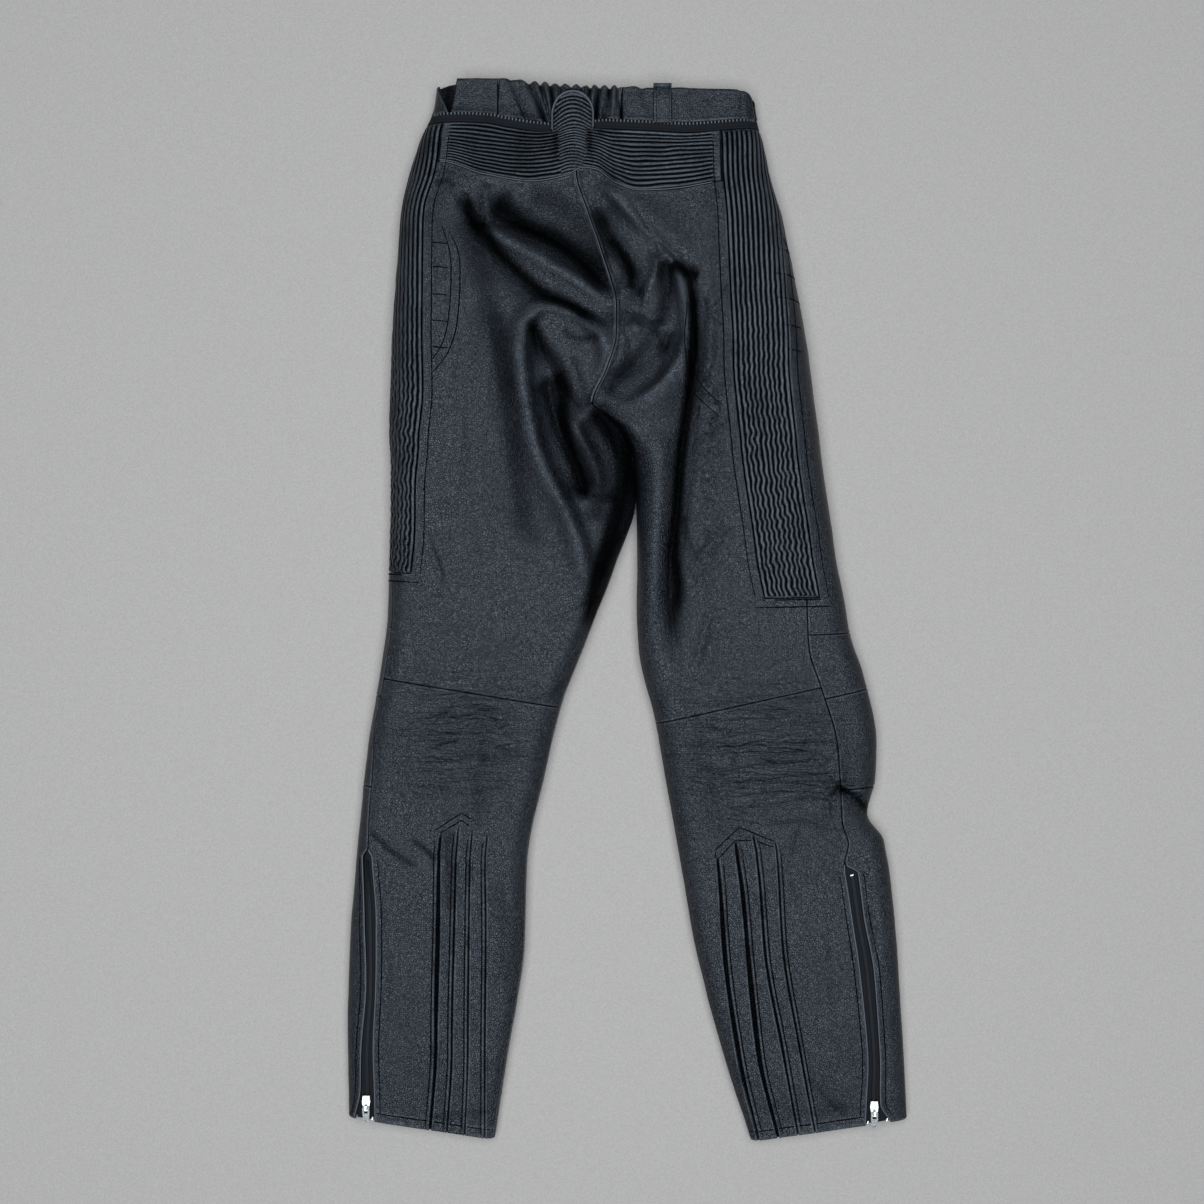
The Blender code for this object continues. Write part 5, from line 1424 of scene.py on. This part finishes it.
def connecting_zip(half):
    """Tape half of the zip that joins the trousers to a jacket, creased along its length."""
    down = np.linspace(0, 1, 15)[:, None]
    row = BAND_END + (ZIP_BAND_END - BAND_END) * down
    start = on_row(seam_reach, half, STRETCH_TOP, STRETCH_SEAM[half]) - STRETCH_WIDTH + SEAM_GAP / 2
    end = Row(half, row[:, 0]).over - 0.1
    reach = graded(np.full_like(end, start), end, 2.2)
    row = row + 0 * reach
    cord = 1.5 * bell(down - 0.28, 0.16) + 0.9 * bell(down - 0.85, 0.12)
    rise = (cord - 0.9 + 0.3 * lattice(reach / 11, row / 3, 40)) * ease(reach, 4, 14)
    edge = np.minimum(row - row.min(), row.max() - row)
    made, plain = leather_wall(
        f"connecting_tape_{half}", half, row, reach, TAPE, rise, edge, thickness=TAPE_THICK, calm=0.2
    )
    cloth_piece(made, f"connecting_zip_{half}", plain)


def calf_zip(half):
    """The calf zip's woven tape, sunk between the panels."""
    rows = row_steps(ZIP_START[half] - 0.5, HEM_ROW[half] - 2, 3.0)
    back = back_seam(half, rows) - SEAM_GAP / 2
    front = front_seam(half, rows) + SEAM_GAP / 2
    reach = front[:, None] + (back - front)[:, None] * np.linspace(0, 1, 15)
    row = rows[:, None] + 0 * reach
    middle = (back + front)[:, None] / 2
    rise = -1.5 + 0.3 * bell(reach - middle, 2.5)
    edge = np.full_like(reach, NO_EDGE)
    made, plain = leather_wall(
        f"calf_tape_{half}", half, row, reach, TAPE, rise, edge, thickness=CALF_TAPE_THICK, calm=0.1
    )
    cloth_piece(made, f"calf_zip_{half}", plain)


def belt_loop():
    """Folded strip over the waistband, sewn down at both ends."""
    drop = np.array([2, 3, 5.5, 9, 14, 20, 27, 33, 37, 40, 43, 45, 46])
    lift = np.array([0.3, 0.9, 0.9, 1.9, 2.6, 2.8, 2.6, 2.2, 2.0, 2.0, 1.9, 1.8, 1.2])
    fine = np.linspace(5.5, 46, 45)
    lift = np.interp(np.linspace(2, 46, 45), drop, lift)[:, None]
    across = np.concatenate([[-1, -0.97, -0.92, -0.84], np.linspace(-0.7, 0.7, 15), [0.84, 0.92, 0.97, 1]])
    x = LOOP_X + LOOP_HALF * across + 0 * lift
    drop = np.maximum(fine[:, None], through(np.array(LOOP_X), BAND_EDGE, 1)) + 0 * x
    base = plain_back(x, drop, 0.0)
    base[..., 1] = (LENGTH / 2 - fine[:, None]) * MM
    level = base[..., 2].max(1)[:, None]
    relief = 0.35 * bell(np.abs(across) - 0.86, 0.1) - 0.5 * bell(np.abs(across) - 1, 0.05)
    relief = relief - 0.3 * bell(across, 0.5)
    inside, outside = base.copy(), base.copy()
    inside[..., 2] = level + lift * MM
    outside[..., 2] = level + (lift + 1.6 + relief) * MM
    uv = np.stack([x, drop], -1)
    # Painted shade along the loop's edges and its stitch lines; painted highlights on the edges and on the
    # fold at its top.
    seam = 0.6 * bell((1 - np.abs(across)) * LOOP_HALF, 0.7) + 0 * x
    sewn = bell(np.abs(across) - 0.72, 0.05) + 0 * x
    rubbed = np.maximum(0.8 * bell(np.abs(across) - 0.88, 0.07), bell(fine[:, None] - 8, 1.5) + 0 * x)
    marks = {"seam": seam, "hollow": 0.8 * sewn, "rubbed": rubbed}
    made = wall("belt_loop_skin", outside, inside, BAND_HIDE, None, uv, marks)
    cloth_piece(made, "belt_loop", base)


STITCH, STITCH_GAP = 2.6, 0.8
THREAD_HALF, THREAD_ABOVE, THREAD_BELOW = 0.5, 0.3, 0.25
GROOVE_SHADE_HALF, GROOVE_SHADE_ABOVE, GROOVE_SHADE_BELOW = 0.65, 0.12, 0.5


def sewn_on(made):
    """Attaches a small part to the garment, so that it moves with it."""
    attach(made, "garment")


def stitches(name, lines):
    """Lock stitches along lines on the leather. Each is a short spindle: a square ring at a quarter
    and at three quarters of its length, drawn to a point at both ends."""
    points, faces = [], []
    for line, normal in lines:
        along = distances(line)
        count = int(along[-1] / ((STITCH + STITCH_GAP) * MM))
        if count < 2:
            continue
        start = (np.arange(count) + 0.15) * (along[-1] / count)
        spots = [read_along(start + STITCH * MM * f, along, line) for f in (0, 0.25, 0.75, 1)]
        up = read_along(start, along, normal)
        way = spots[3] - spots[0]
        side = np.cross(way, up)
        side /= np.linalg.norm(side, axis=1)[:, None] + 1e-12
        rings = [spots[0][:, None]]
        for spot in spots[1:3]:
            ring = [spot + side * THREAD_HALF * MM, spot + up * THREAD_ABOVE * MM]
            ring += [spot - side * THREAD_HALF * MM, spot - up * THREAD_BELOW * MM]
            rings.append(np.stack(ring, 1))
        rings.append(spots[3][:, None])
        base = sum(len(p) for p in points) + 10 * np.arange(count)[:, None]
        points.append(np.concatenate(rings, 1).reshape(-1, 3))
        shape = []
        for k in range(4):
            j = (k + 1) % 4
            shape += [(0, 1 + j, 1 + k), (1 + k, 1 + j, 5 + j), (1 + k, 5 + j, 5 + k), (5 + k, 5 + j, 9)]
        faces.append((base[:, :, None] + np.array(shape)[None]).reshape(-1, 3))
    made = add_mesh(name, np.concatenate(points), np.concatenate(faces), THREAD_AND_GROOVE_SHADE)
    sewn_on(made)


def groove_shade_cords(name, lines):
    """A dark cord that paints the shade in the groove a row of stitches presses into leather: a low closed
    cord of four sides along each line, drawn to a point at both ends."""
    points, faces, base = [], [], 0
    for line, up in lines:
        side = np.cross(np.gradient(line, axis=0), up)
        side /= np.linalg.norm(side, axis=1)[:, None] + 1e-12
        wide = GROOVE_SHADE_HALF * MM * np.sin(np.linspace(0.02, math.pi - 0.02, len(line)))[:, None] ** 0.2
        above, below = line + up * GROOVE_SHADE_ABOVE * MM, line - up * GROOVE_SHADE_BELOW * MM
        ring = np.stack([line + side * wide, above, line - side * wide, below], 1)
        count = len(line)
        k = base + 4 * np.arange(count - 1)[:, None] + np.arange(4)
        j = base + 4 * np.arange(count - 1)[:, None] + (np.arange(4) + 1) % 4
        faces.append(np.stack([k, k + 4, j + 4, j], -1).reshape(-1, 4))
        last = base + 4 * (count - 1)
        faces.append(np.array([[base, base + 1, base + 2, base + 3], [last + 3, last + 2, last + 1, last]]))
        points.append(ring.reshape(-1, 3))
        base += 4 * count
    made = add_mesh(name, np.concatenate(points), np.concatenate(faces), THREAD_AND_GROOVE_SHADE)
    sewn_on(made)


def line_on(half, row, reach, rise=0.1, calm=1.0):
    """A line on the leather and its upward direction, for stitches."""
    line, height = skin(half, row, reach, rise, calm)
    above = place(half, row, reach, height + 1.0) * MM
    up = above - place(half, row, reach, height) * MM
    return line, up / (np.linalg.norm(up, axis=1)[:, None] + 1e-12)


def at(half, x, drop):
    """Row and reach of a place on the top, found by stepping the row until its line passes there."""
    row = np.array(drop, float)
    for _ in range(6):
        r = Row(half, row)
        share = (x - r.outer[..., 0]) / (r.inner[..., 0] - r.outer[..., 0])
        row = row + drop - (r.outer[..., 1] + share * (r.inner[..., 1] - r.outer[..., 1]))
    r = Row(half, row)
    return row, reach_of(half, row, share * r.width)


def line_at(half, points, rise=0.1):
    """A stitch line through a few places on the top."""
    dense = path_points(points, 90)
    row, reach = at(half, dense[:, 0], dense[:, 1])
    return line_on(half, row, reach, rise)


def topstitching():
    """All the rows of stitches beside the seams, with dark cords that paint the shade in their grooves."""
    lines = []
    for half in ("left", "right"):
        notch, knee = STRETCH_END[half], BACK_KNEE_ROW[half]
        rows = np.linspace(62, notch, 300)
        stretch = seam_reach(half, rows, STRETCH_SEAM[half])
        for away in SEWN_AWAY:
            lines.append(line_on(half, rows, stretch + away, 0.7))
        for away in SEWN_AWAY:
            lines.append(line_on(half, rows, stretch - STRETCH_WIDTH - away, 0.1))
        seam = on_row(seam_reach, half, notch, STRETCH_SEAM[half])
        for away in SEWN_AWAY:
            reach = np.linspace(seam + away, seam - STRETCH_WIDTH - away, 60)
            lines.append(line_on(half, np.full(60, notch + away), reach, 0.6))
        if half == "left":
            rows = np.linspace(100, 322, 200)
            lines.append(line_on(half, rows, Row(half, rows).over - 2.6, 0.6))
        low, high = on_row(seam_reach, half, knee, SIDE_SEAM[half]) + 2, on_row(inner_seam, half, knee) - 1
        for away in KNEE_SEWN_AWAY:
            lines.append(line_on(half, np.full(90, knee + away), np.linspace(low, high, 90), 0.1))
        hem = HEM_ROW[half]
        low, high = on_row(back_seam, half, hem) + 2, on_row(inner_seam, half, hem) - 1
        lines.append(line_on(half, np.full(90, hem - SEWN_AWAY[1]), np.linspace(low, high, 90), 0.6))
        rows = np.linspace(ZIP_START[half] + 8, hem - 2, 160)
        lines.append(line_on(half, rows, back_seam(half, rows) + 6.0, 0.1))
        lines.append(line_on(half, rows, front_seam(half, rows) - 6.0, 0.1))
        rows = np.linspace(STRETCH_END[half] + 12, ZIP_START[half] - 4, 160)
        lines.append(line_on(half, rows, seam_reach(half, rows, SIDE_SEAM[half]) + 1.9, 0.1))
        for table, width, start in zip(PLEATS[half], PLEAT_WIDTH[half], PLEAT_START[half]):
            rows = np.linspace(start + 6, hem - 2, 140)
            spot = through(rows, list(zip(PLEAT_ROWS[half], table)), 1)
            lines.append(line_on(half, rows, reach_of(half, rows, spot - width / 2 - 3.0), 0.5))
    stitches("topstitching", lines)
    groove_shade_cords("stitch_groove_shade", lines)


def hip_quilting():
    """Curved double rows and cross rows of stitches on both hips, and the pointed pleat heads, with dark
    cords that paint the shade in their grooves.
    """
    left = [
        (
            *((-183.5, 149), (-176.5, 171), (-174.5, 216), (-175.5, 230)),
            *((-184.5, 269), (-192.5, 281), (-199.5, 290)),
        ),
        (
            *((-176.5, 154), (-168.5, 171), (-165.5, 210), (-166.5, 229)),
            *((-170.5, 256), (-177.5, 275), (-191.5, 293), (-201.5, 302)),
        ),
    ]
    left += [((-203, drop), (-190, drop + 1), (-177, drop + 2)) for drop in (165, 189, 216, 242, 268)]
    left += [((-193.5, 160), (-193.5, 220), (-194, 280))]
    left += [((-190.5, 746), (-164.5, 729)), ((-164.5, 729), (-155.5, 735))]
    left += [((-185.5, 749), (-164.5, 736)), ((-164.5, 736), (-156.5, 742))]
    right = [((144, 140), (158, 168), (170, 205)), ((66, 228), (64, 270), (72, 305), (92, 326))]
    right += [((58, 226), (56, 272), (65, 312), (90, 338))]
    right += [((146, drop), (160, drop + 1), (172, drop + 3)) for drop in (171, 196, 220, 246, 270)]
    right += [((87.5, 765), (86.5, 778), (88.5, 792))]
    right += [((87.5, 765), (110.5, 743)), ((110.5, 743), (144.5, 757))]
    right += [((90.5, 774), (106.5, 756)), ((106.5, 756), (126.5, 756)), ((126.5, 756), (144.5, 763))]
    lines = [line_at("left", points) for points in left] + [line_at("right", points) for points in right]
    stitches("quilting", lines)
    groove_shade_cords("quilting_groove_shade", lines)


def blocks(name, centres, ways, ups, size, material):
    """Small blocks with cut corners, one at each centre: eight corners and six faces each."""
    side = np.cross(ways, ups)
    side /= np.linalg.norm(side, axis=1)[:, None]
    ways = ways / np.linalg.norm(ways, axis=1)[:, None]
    points = []
    for up, shrink in ((-1, 1.0), (1, 0.65)):
        for a, b in ((-1, -1), (1, -1), (1, 1), (-1, 1)):
            spot = ways * a * size[0] * shrink + side * b * size[1] * shrink + ups * up * size[2]
            points.append(centres + spot * MM / 2)
    points = np.stack(points, 1)
    shape = np.array(((3, 2, 1, 0), (4, 5, 6, 7), (0, 1, 5, 4), (1, 2, 6, 5), (2, 3, 7, 6), (3, 0, 4, 7)))
    faces = (8 * np.arange(len(centres))[:, None, None] + shape[None]).reshape(-1, 4)
    test = np.cross(points[0, 5] - points[0, 4], points[0, 7] - points[0, 4]) @ ups[0]
    faces = faces if test > 0 else faces[:, ::-1]
    made = add_mesh(name, points.reshape(-1, 3), faces, material, smooth=False)
    sewn_on(made)


def along_line(line, up, pitch, offset=0.0):
    """Evenly spaced centres on a line, with the line's direction and up at each."""
    along = distances(line)
    spots = np.arange(offset * MM, along[-1], pitch * MM)
    ahead, back = read_along(spots + MM, along, line), read_along(spots - MM, along, line)
    return read_along(spots, along, line), ahead - back, read_along(spots, along, up)


def zip_teeth():
    """Interlocked teeth of both calf zips, and the free teeth of the connecting zip."""
    for half in ("left", "right"):
        rows = np.linspace(ZIP_START[half] + 9, HEM_ROW[half] - 6, 260)
        middle = (back_seam(half, rows) + front_seam(half, rows)) / 2
        parts = []
        for side, offset in ((-0.75, 0.0), (0.75, 0.8)):
            line, up = line_on(half, rows, middle + side, -0.1, 0.1)
            parts.append(along_line(line, up, 1.6, offset))
        centres, ways, ups = (np.concatenate([p[k] for p in parts]) for k in range(3))
        blocks(f"calf_teeth_{half}", centres, ways, ups, (0.95, 2.1, 1.3), TEETH)
        rows = np.full(300, BAND_END + 1.2)
        end = Row(half, rows).over - 3
        start = reach_of(half, rows, np.full(300, 6.0))
        reach = start + (end - start) * np.linspace(0, 1, 300)
        line, up = line_on(half, rows, reach, 1.2, 0.2)
        centres, ways, ups = along_line(line, up, 3.6)
        blocks(f"connecting_teeth_{half}", centres, ways, ups, (1.6, 3.0, 1.4), PALE_TEETH)


def cord(name, line, up, radius, material):
    """A thin closed round cord along a line: a ring of eight points carried along it."""
    across = np.cross(np.gradient(line, axis=0), up)
    across /= np.linalg.norm(across, axis=1)[:, None]
    turn = np.linspace(0, 2 * math.pi, 9)[:-1]
    ring = across[:, None] * np.cos(turn)[None, :, None] + up[:, None] * np.sin(turn)[None, :, None]
    points = line[:, None] + ring * radius * MM
    count, around = points.shape[:2]
    k = np.arange(count - 1)[:, None] * around + np.arange(around)[None]
    j = np.arange(count - 1)[:, None] * around + (np.arange(around)[None] + 1) % around
    faces = np.stack([k, k + around, j + around, j], -1).reshape(-1, 4)
    ends = np.array([[0, 1, 2, 3], [0, 3, 4, 5], [0, 5, 6, 7]])
    faces = np.concatenate([faces, ends, ends[:, ::-1] + (count - 1) * around])
    made = add_mesh(name, points.reshape(-1, 3), faces, material)
    sewn_on(made)


def piping():
    """Fine rolled edges along both sides of each calf zip, under the yoke and down the centre seam, pale from
    wear and a painted highlight.
    """
    for half in ("left", "right"):
        rows = np.linspace(ZIP_START[half] - 3, HEM_ROW[half] - 1, 140)
        for side, reach in (("back", back_seam(half, rows) + 0.8), ("front", front_seam(half, rows) - 0.8)):
            cord(f"zip_piping_{side}_{half}", *line_on(half, rows, reach, 0.35, 0.5), 0.75, PIPING_HIGHLIGHT)
    x = np.linspace(-186, 84, 260)
    drop = through(x, YOKE_SEAM, 1) - 0.2
    up = (plain_back(x, drop, 1.0) - plain_back(x, drop, 0.0)) / MM
    cord("yoke_seam_lip", back_skin(x, drop, 0.15)[0], up, 0.55, PIPING_HIGHLIGHT)
    rows = np.linspace(96, 323, 200)
    cord("centre_seam_lip", *line_on("left", rows, Row("left", rows).over - 0.6, 0.25), 0.5, PIPING_HIGHLIGHT)


def tongue_rim():
    """The piped rim round the tongue: up its left side, round its top and down its right side, pale from wear
    and a painted highlight.
    """
    turn = np.linspace(math.pi, 0, 60)
    radius = TONGUE_HALF - 0.7
    sides = np.linspace(YOKE_TOP - 2, TONGUE_SIDE_DROP, 14)[:-1]
    x = TONGUE_X + np.concatenate([0 * sides - radius, radius * np.cos(turn), 0 * sides + radius])
    drop = np.concatenate([sides, TONGUE_SIDE_DROP - radius * np.sin(turn), sides[::-1]])
    up = (plain_back(x, drop, 1.0) - plain_back(x, drop, 0.0)) / MM
    cord("tongue_rim", plain_back(x, drop, TONGUE_LIFT + 0.9), up, 0.8, PIPING_HIGHLIGHT)


def zip_stops():
    """Small metal stops: one at the right zip's top, and one each side of both sliders at the hem."""
    for half in ("left", "right"):
        last = HEM_ROW[half] - 3.5
        spots = [(last, on_row(back_seam, half, last) - 1.8), (last, on_row(front_seam, half, last) + 1.8)]
        if half == "right":
            top = ZIP_START[half] + 8.0
            spots += [(top, (on_row(back_seam, half, top) + on_row(front_seam, half, top)) / 2)]
        line, up = line_on(half, np.array([s[0] for s in spots]), np.array([s[1] for s in spots]), 0.6)
        ways = np.array([(0.3, 1, 0), (0.3, 1, 0), (1, 0.25, 0)][: len(spots)], float)
        blocks(f"zip_stops_{half}", line, ways, up, (4.6, 1.7, 1.4), STEEL)


def metal_parts():
    """The sliders and pull tabs are the solids themselves, with plated metal."""
    for half in ("left", "right"):
        for name in ("zip_slider", "zip_tab"):
            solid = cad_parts[f"{name}_{half}"]
            for face_set in solid.material_slots:
                face_set.material = STEEL


# The floor, the light and the camera, in metres. The camera's height makes the picture as wide as stated
# at the garment's own level.
FLOOR_HALF, FLOOR_Z, FLOOR_COLOUR = 4.0, -0.0004, (0.470, 0.410, 0.357, 1)
SKY_COLOUR, SKY_SIZE, SKY_POWER, SKY_PLACE = (0.76, 0.87, 1.0), (3.2, 3.8), 180.0, (-0.1, -0.15, 2.8)
ROOM_STRENGTH = 0.05
CAMERA_X, CAMERA_Y, PICTURE_LEVEL, PICTURE_WIDTH = -0.0255, 0.009, 0.010, 1.204


def floor_and_light():
    """A plain pale floor and a broad soft light overhead, as under a pale sky."""
    corners = [(a * FLOOR_HALF, b * FLOOR_HALF, FLOOR_Z) for a, b in ((-1, -1), (1, -1), (1, 1), (-1, 1))]
    made = add_mesh("floor", np.array(corners), [(0, 1, 2, 3)], matt("pale floor", FLOOR_COLOUR, 0.9, 700.0))
    world = bpy.data.worlds.new("soft room")
    bpy.context.scene.world = world
    world.use_nodes = True
    world.node_tree.nodes["Background"].inputs["Color"].default_value = (*SKY_COLOUR, 1)
    world.node_tree.nodes["Background"].inputs["Strength"].default_value = ROOM_STRENGTH
    light = bpy.data.lights.new("sky", "AREA")
    light.shape = "RECTANGLE"
    light.size, light.size_y = SKY_SIZE
    light.energy = SKY_POWER
    light.color = SKY_COLOUR
    holder = bpy.data.objects.new("sky", light)
    holder.location = SKY_PLACE
    bpy.context.scene.collection.objects.link(holder)


def tones():
    """Plain tones, so black leather stays as black as it is."""
    bpy.context.scene.view_settings.view_transform = "Standard"


def camera():
    """Straight above the garment, with the waist at the top of the picture."""
    lens = bpy.data.cameras.new("camera")
    lens.lens, lens.sensor_width = 50.0, 36.0
    holder = bpy.data.objects.new("camera", lens)
    holder.location = (CAMERA_X, CAMERA_Y, PICTURE_LEVEL + PICTURE_WIDTH * lens.lens / lens.sensor_width)
    bpy.context.scene.collection.objects.link(holder)
    bpy.context.scene.camera = holder


def main():
    """Builds the scene: camera, floor and light, the leather pieces, then the sewing and the metal."""
    tones()
    camera()
    floor_and_light()
    back_band("band_left_skin", "waistband_back_left", (-169.5, -176), (GATHER_LEFT - SEAM_GAP,) * 2, 1.6)
    back_band("band_gathered_skin", "waistband_back_gathered", (GATHER_LEFT,) * 2, (GATHER_RIGHT,) * 2, 0.7)
    back_band("band_right_skin", "waistband_back_right", (GATHER_RIGHT + SEAM_GAP,) * 2, (124.5, 128.0), 1.6)
    front_band("left", (10.8, 29.0))
    front_band("right", (6.0, 6.0))
    belt_loop()
    yoke()
    for half in ("left", "right"):
        knees = FRONT_KNEE_ROWS[half]
        connecting_zip(half)
        stretch_panel(half)
        back_leg(half)
        calf(half)
        front_thigh(half)
        front_lower("knee_upper", half, knees[0], knees[1] - SEAM_GAP / 2)
        front_lower("knee_lower", half, knees[1], knees[2] - SEAM_GAP / 2)
        front_lower("shin", half, knees[2], HEM_ROW[half])
        calf_zip(half)
    topstitching()
    hip_quilting()
    zip_teeth()
    piping()
    tongue_rim()
    zip_stops()
    metal_parts()


main()
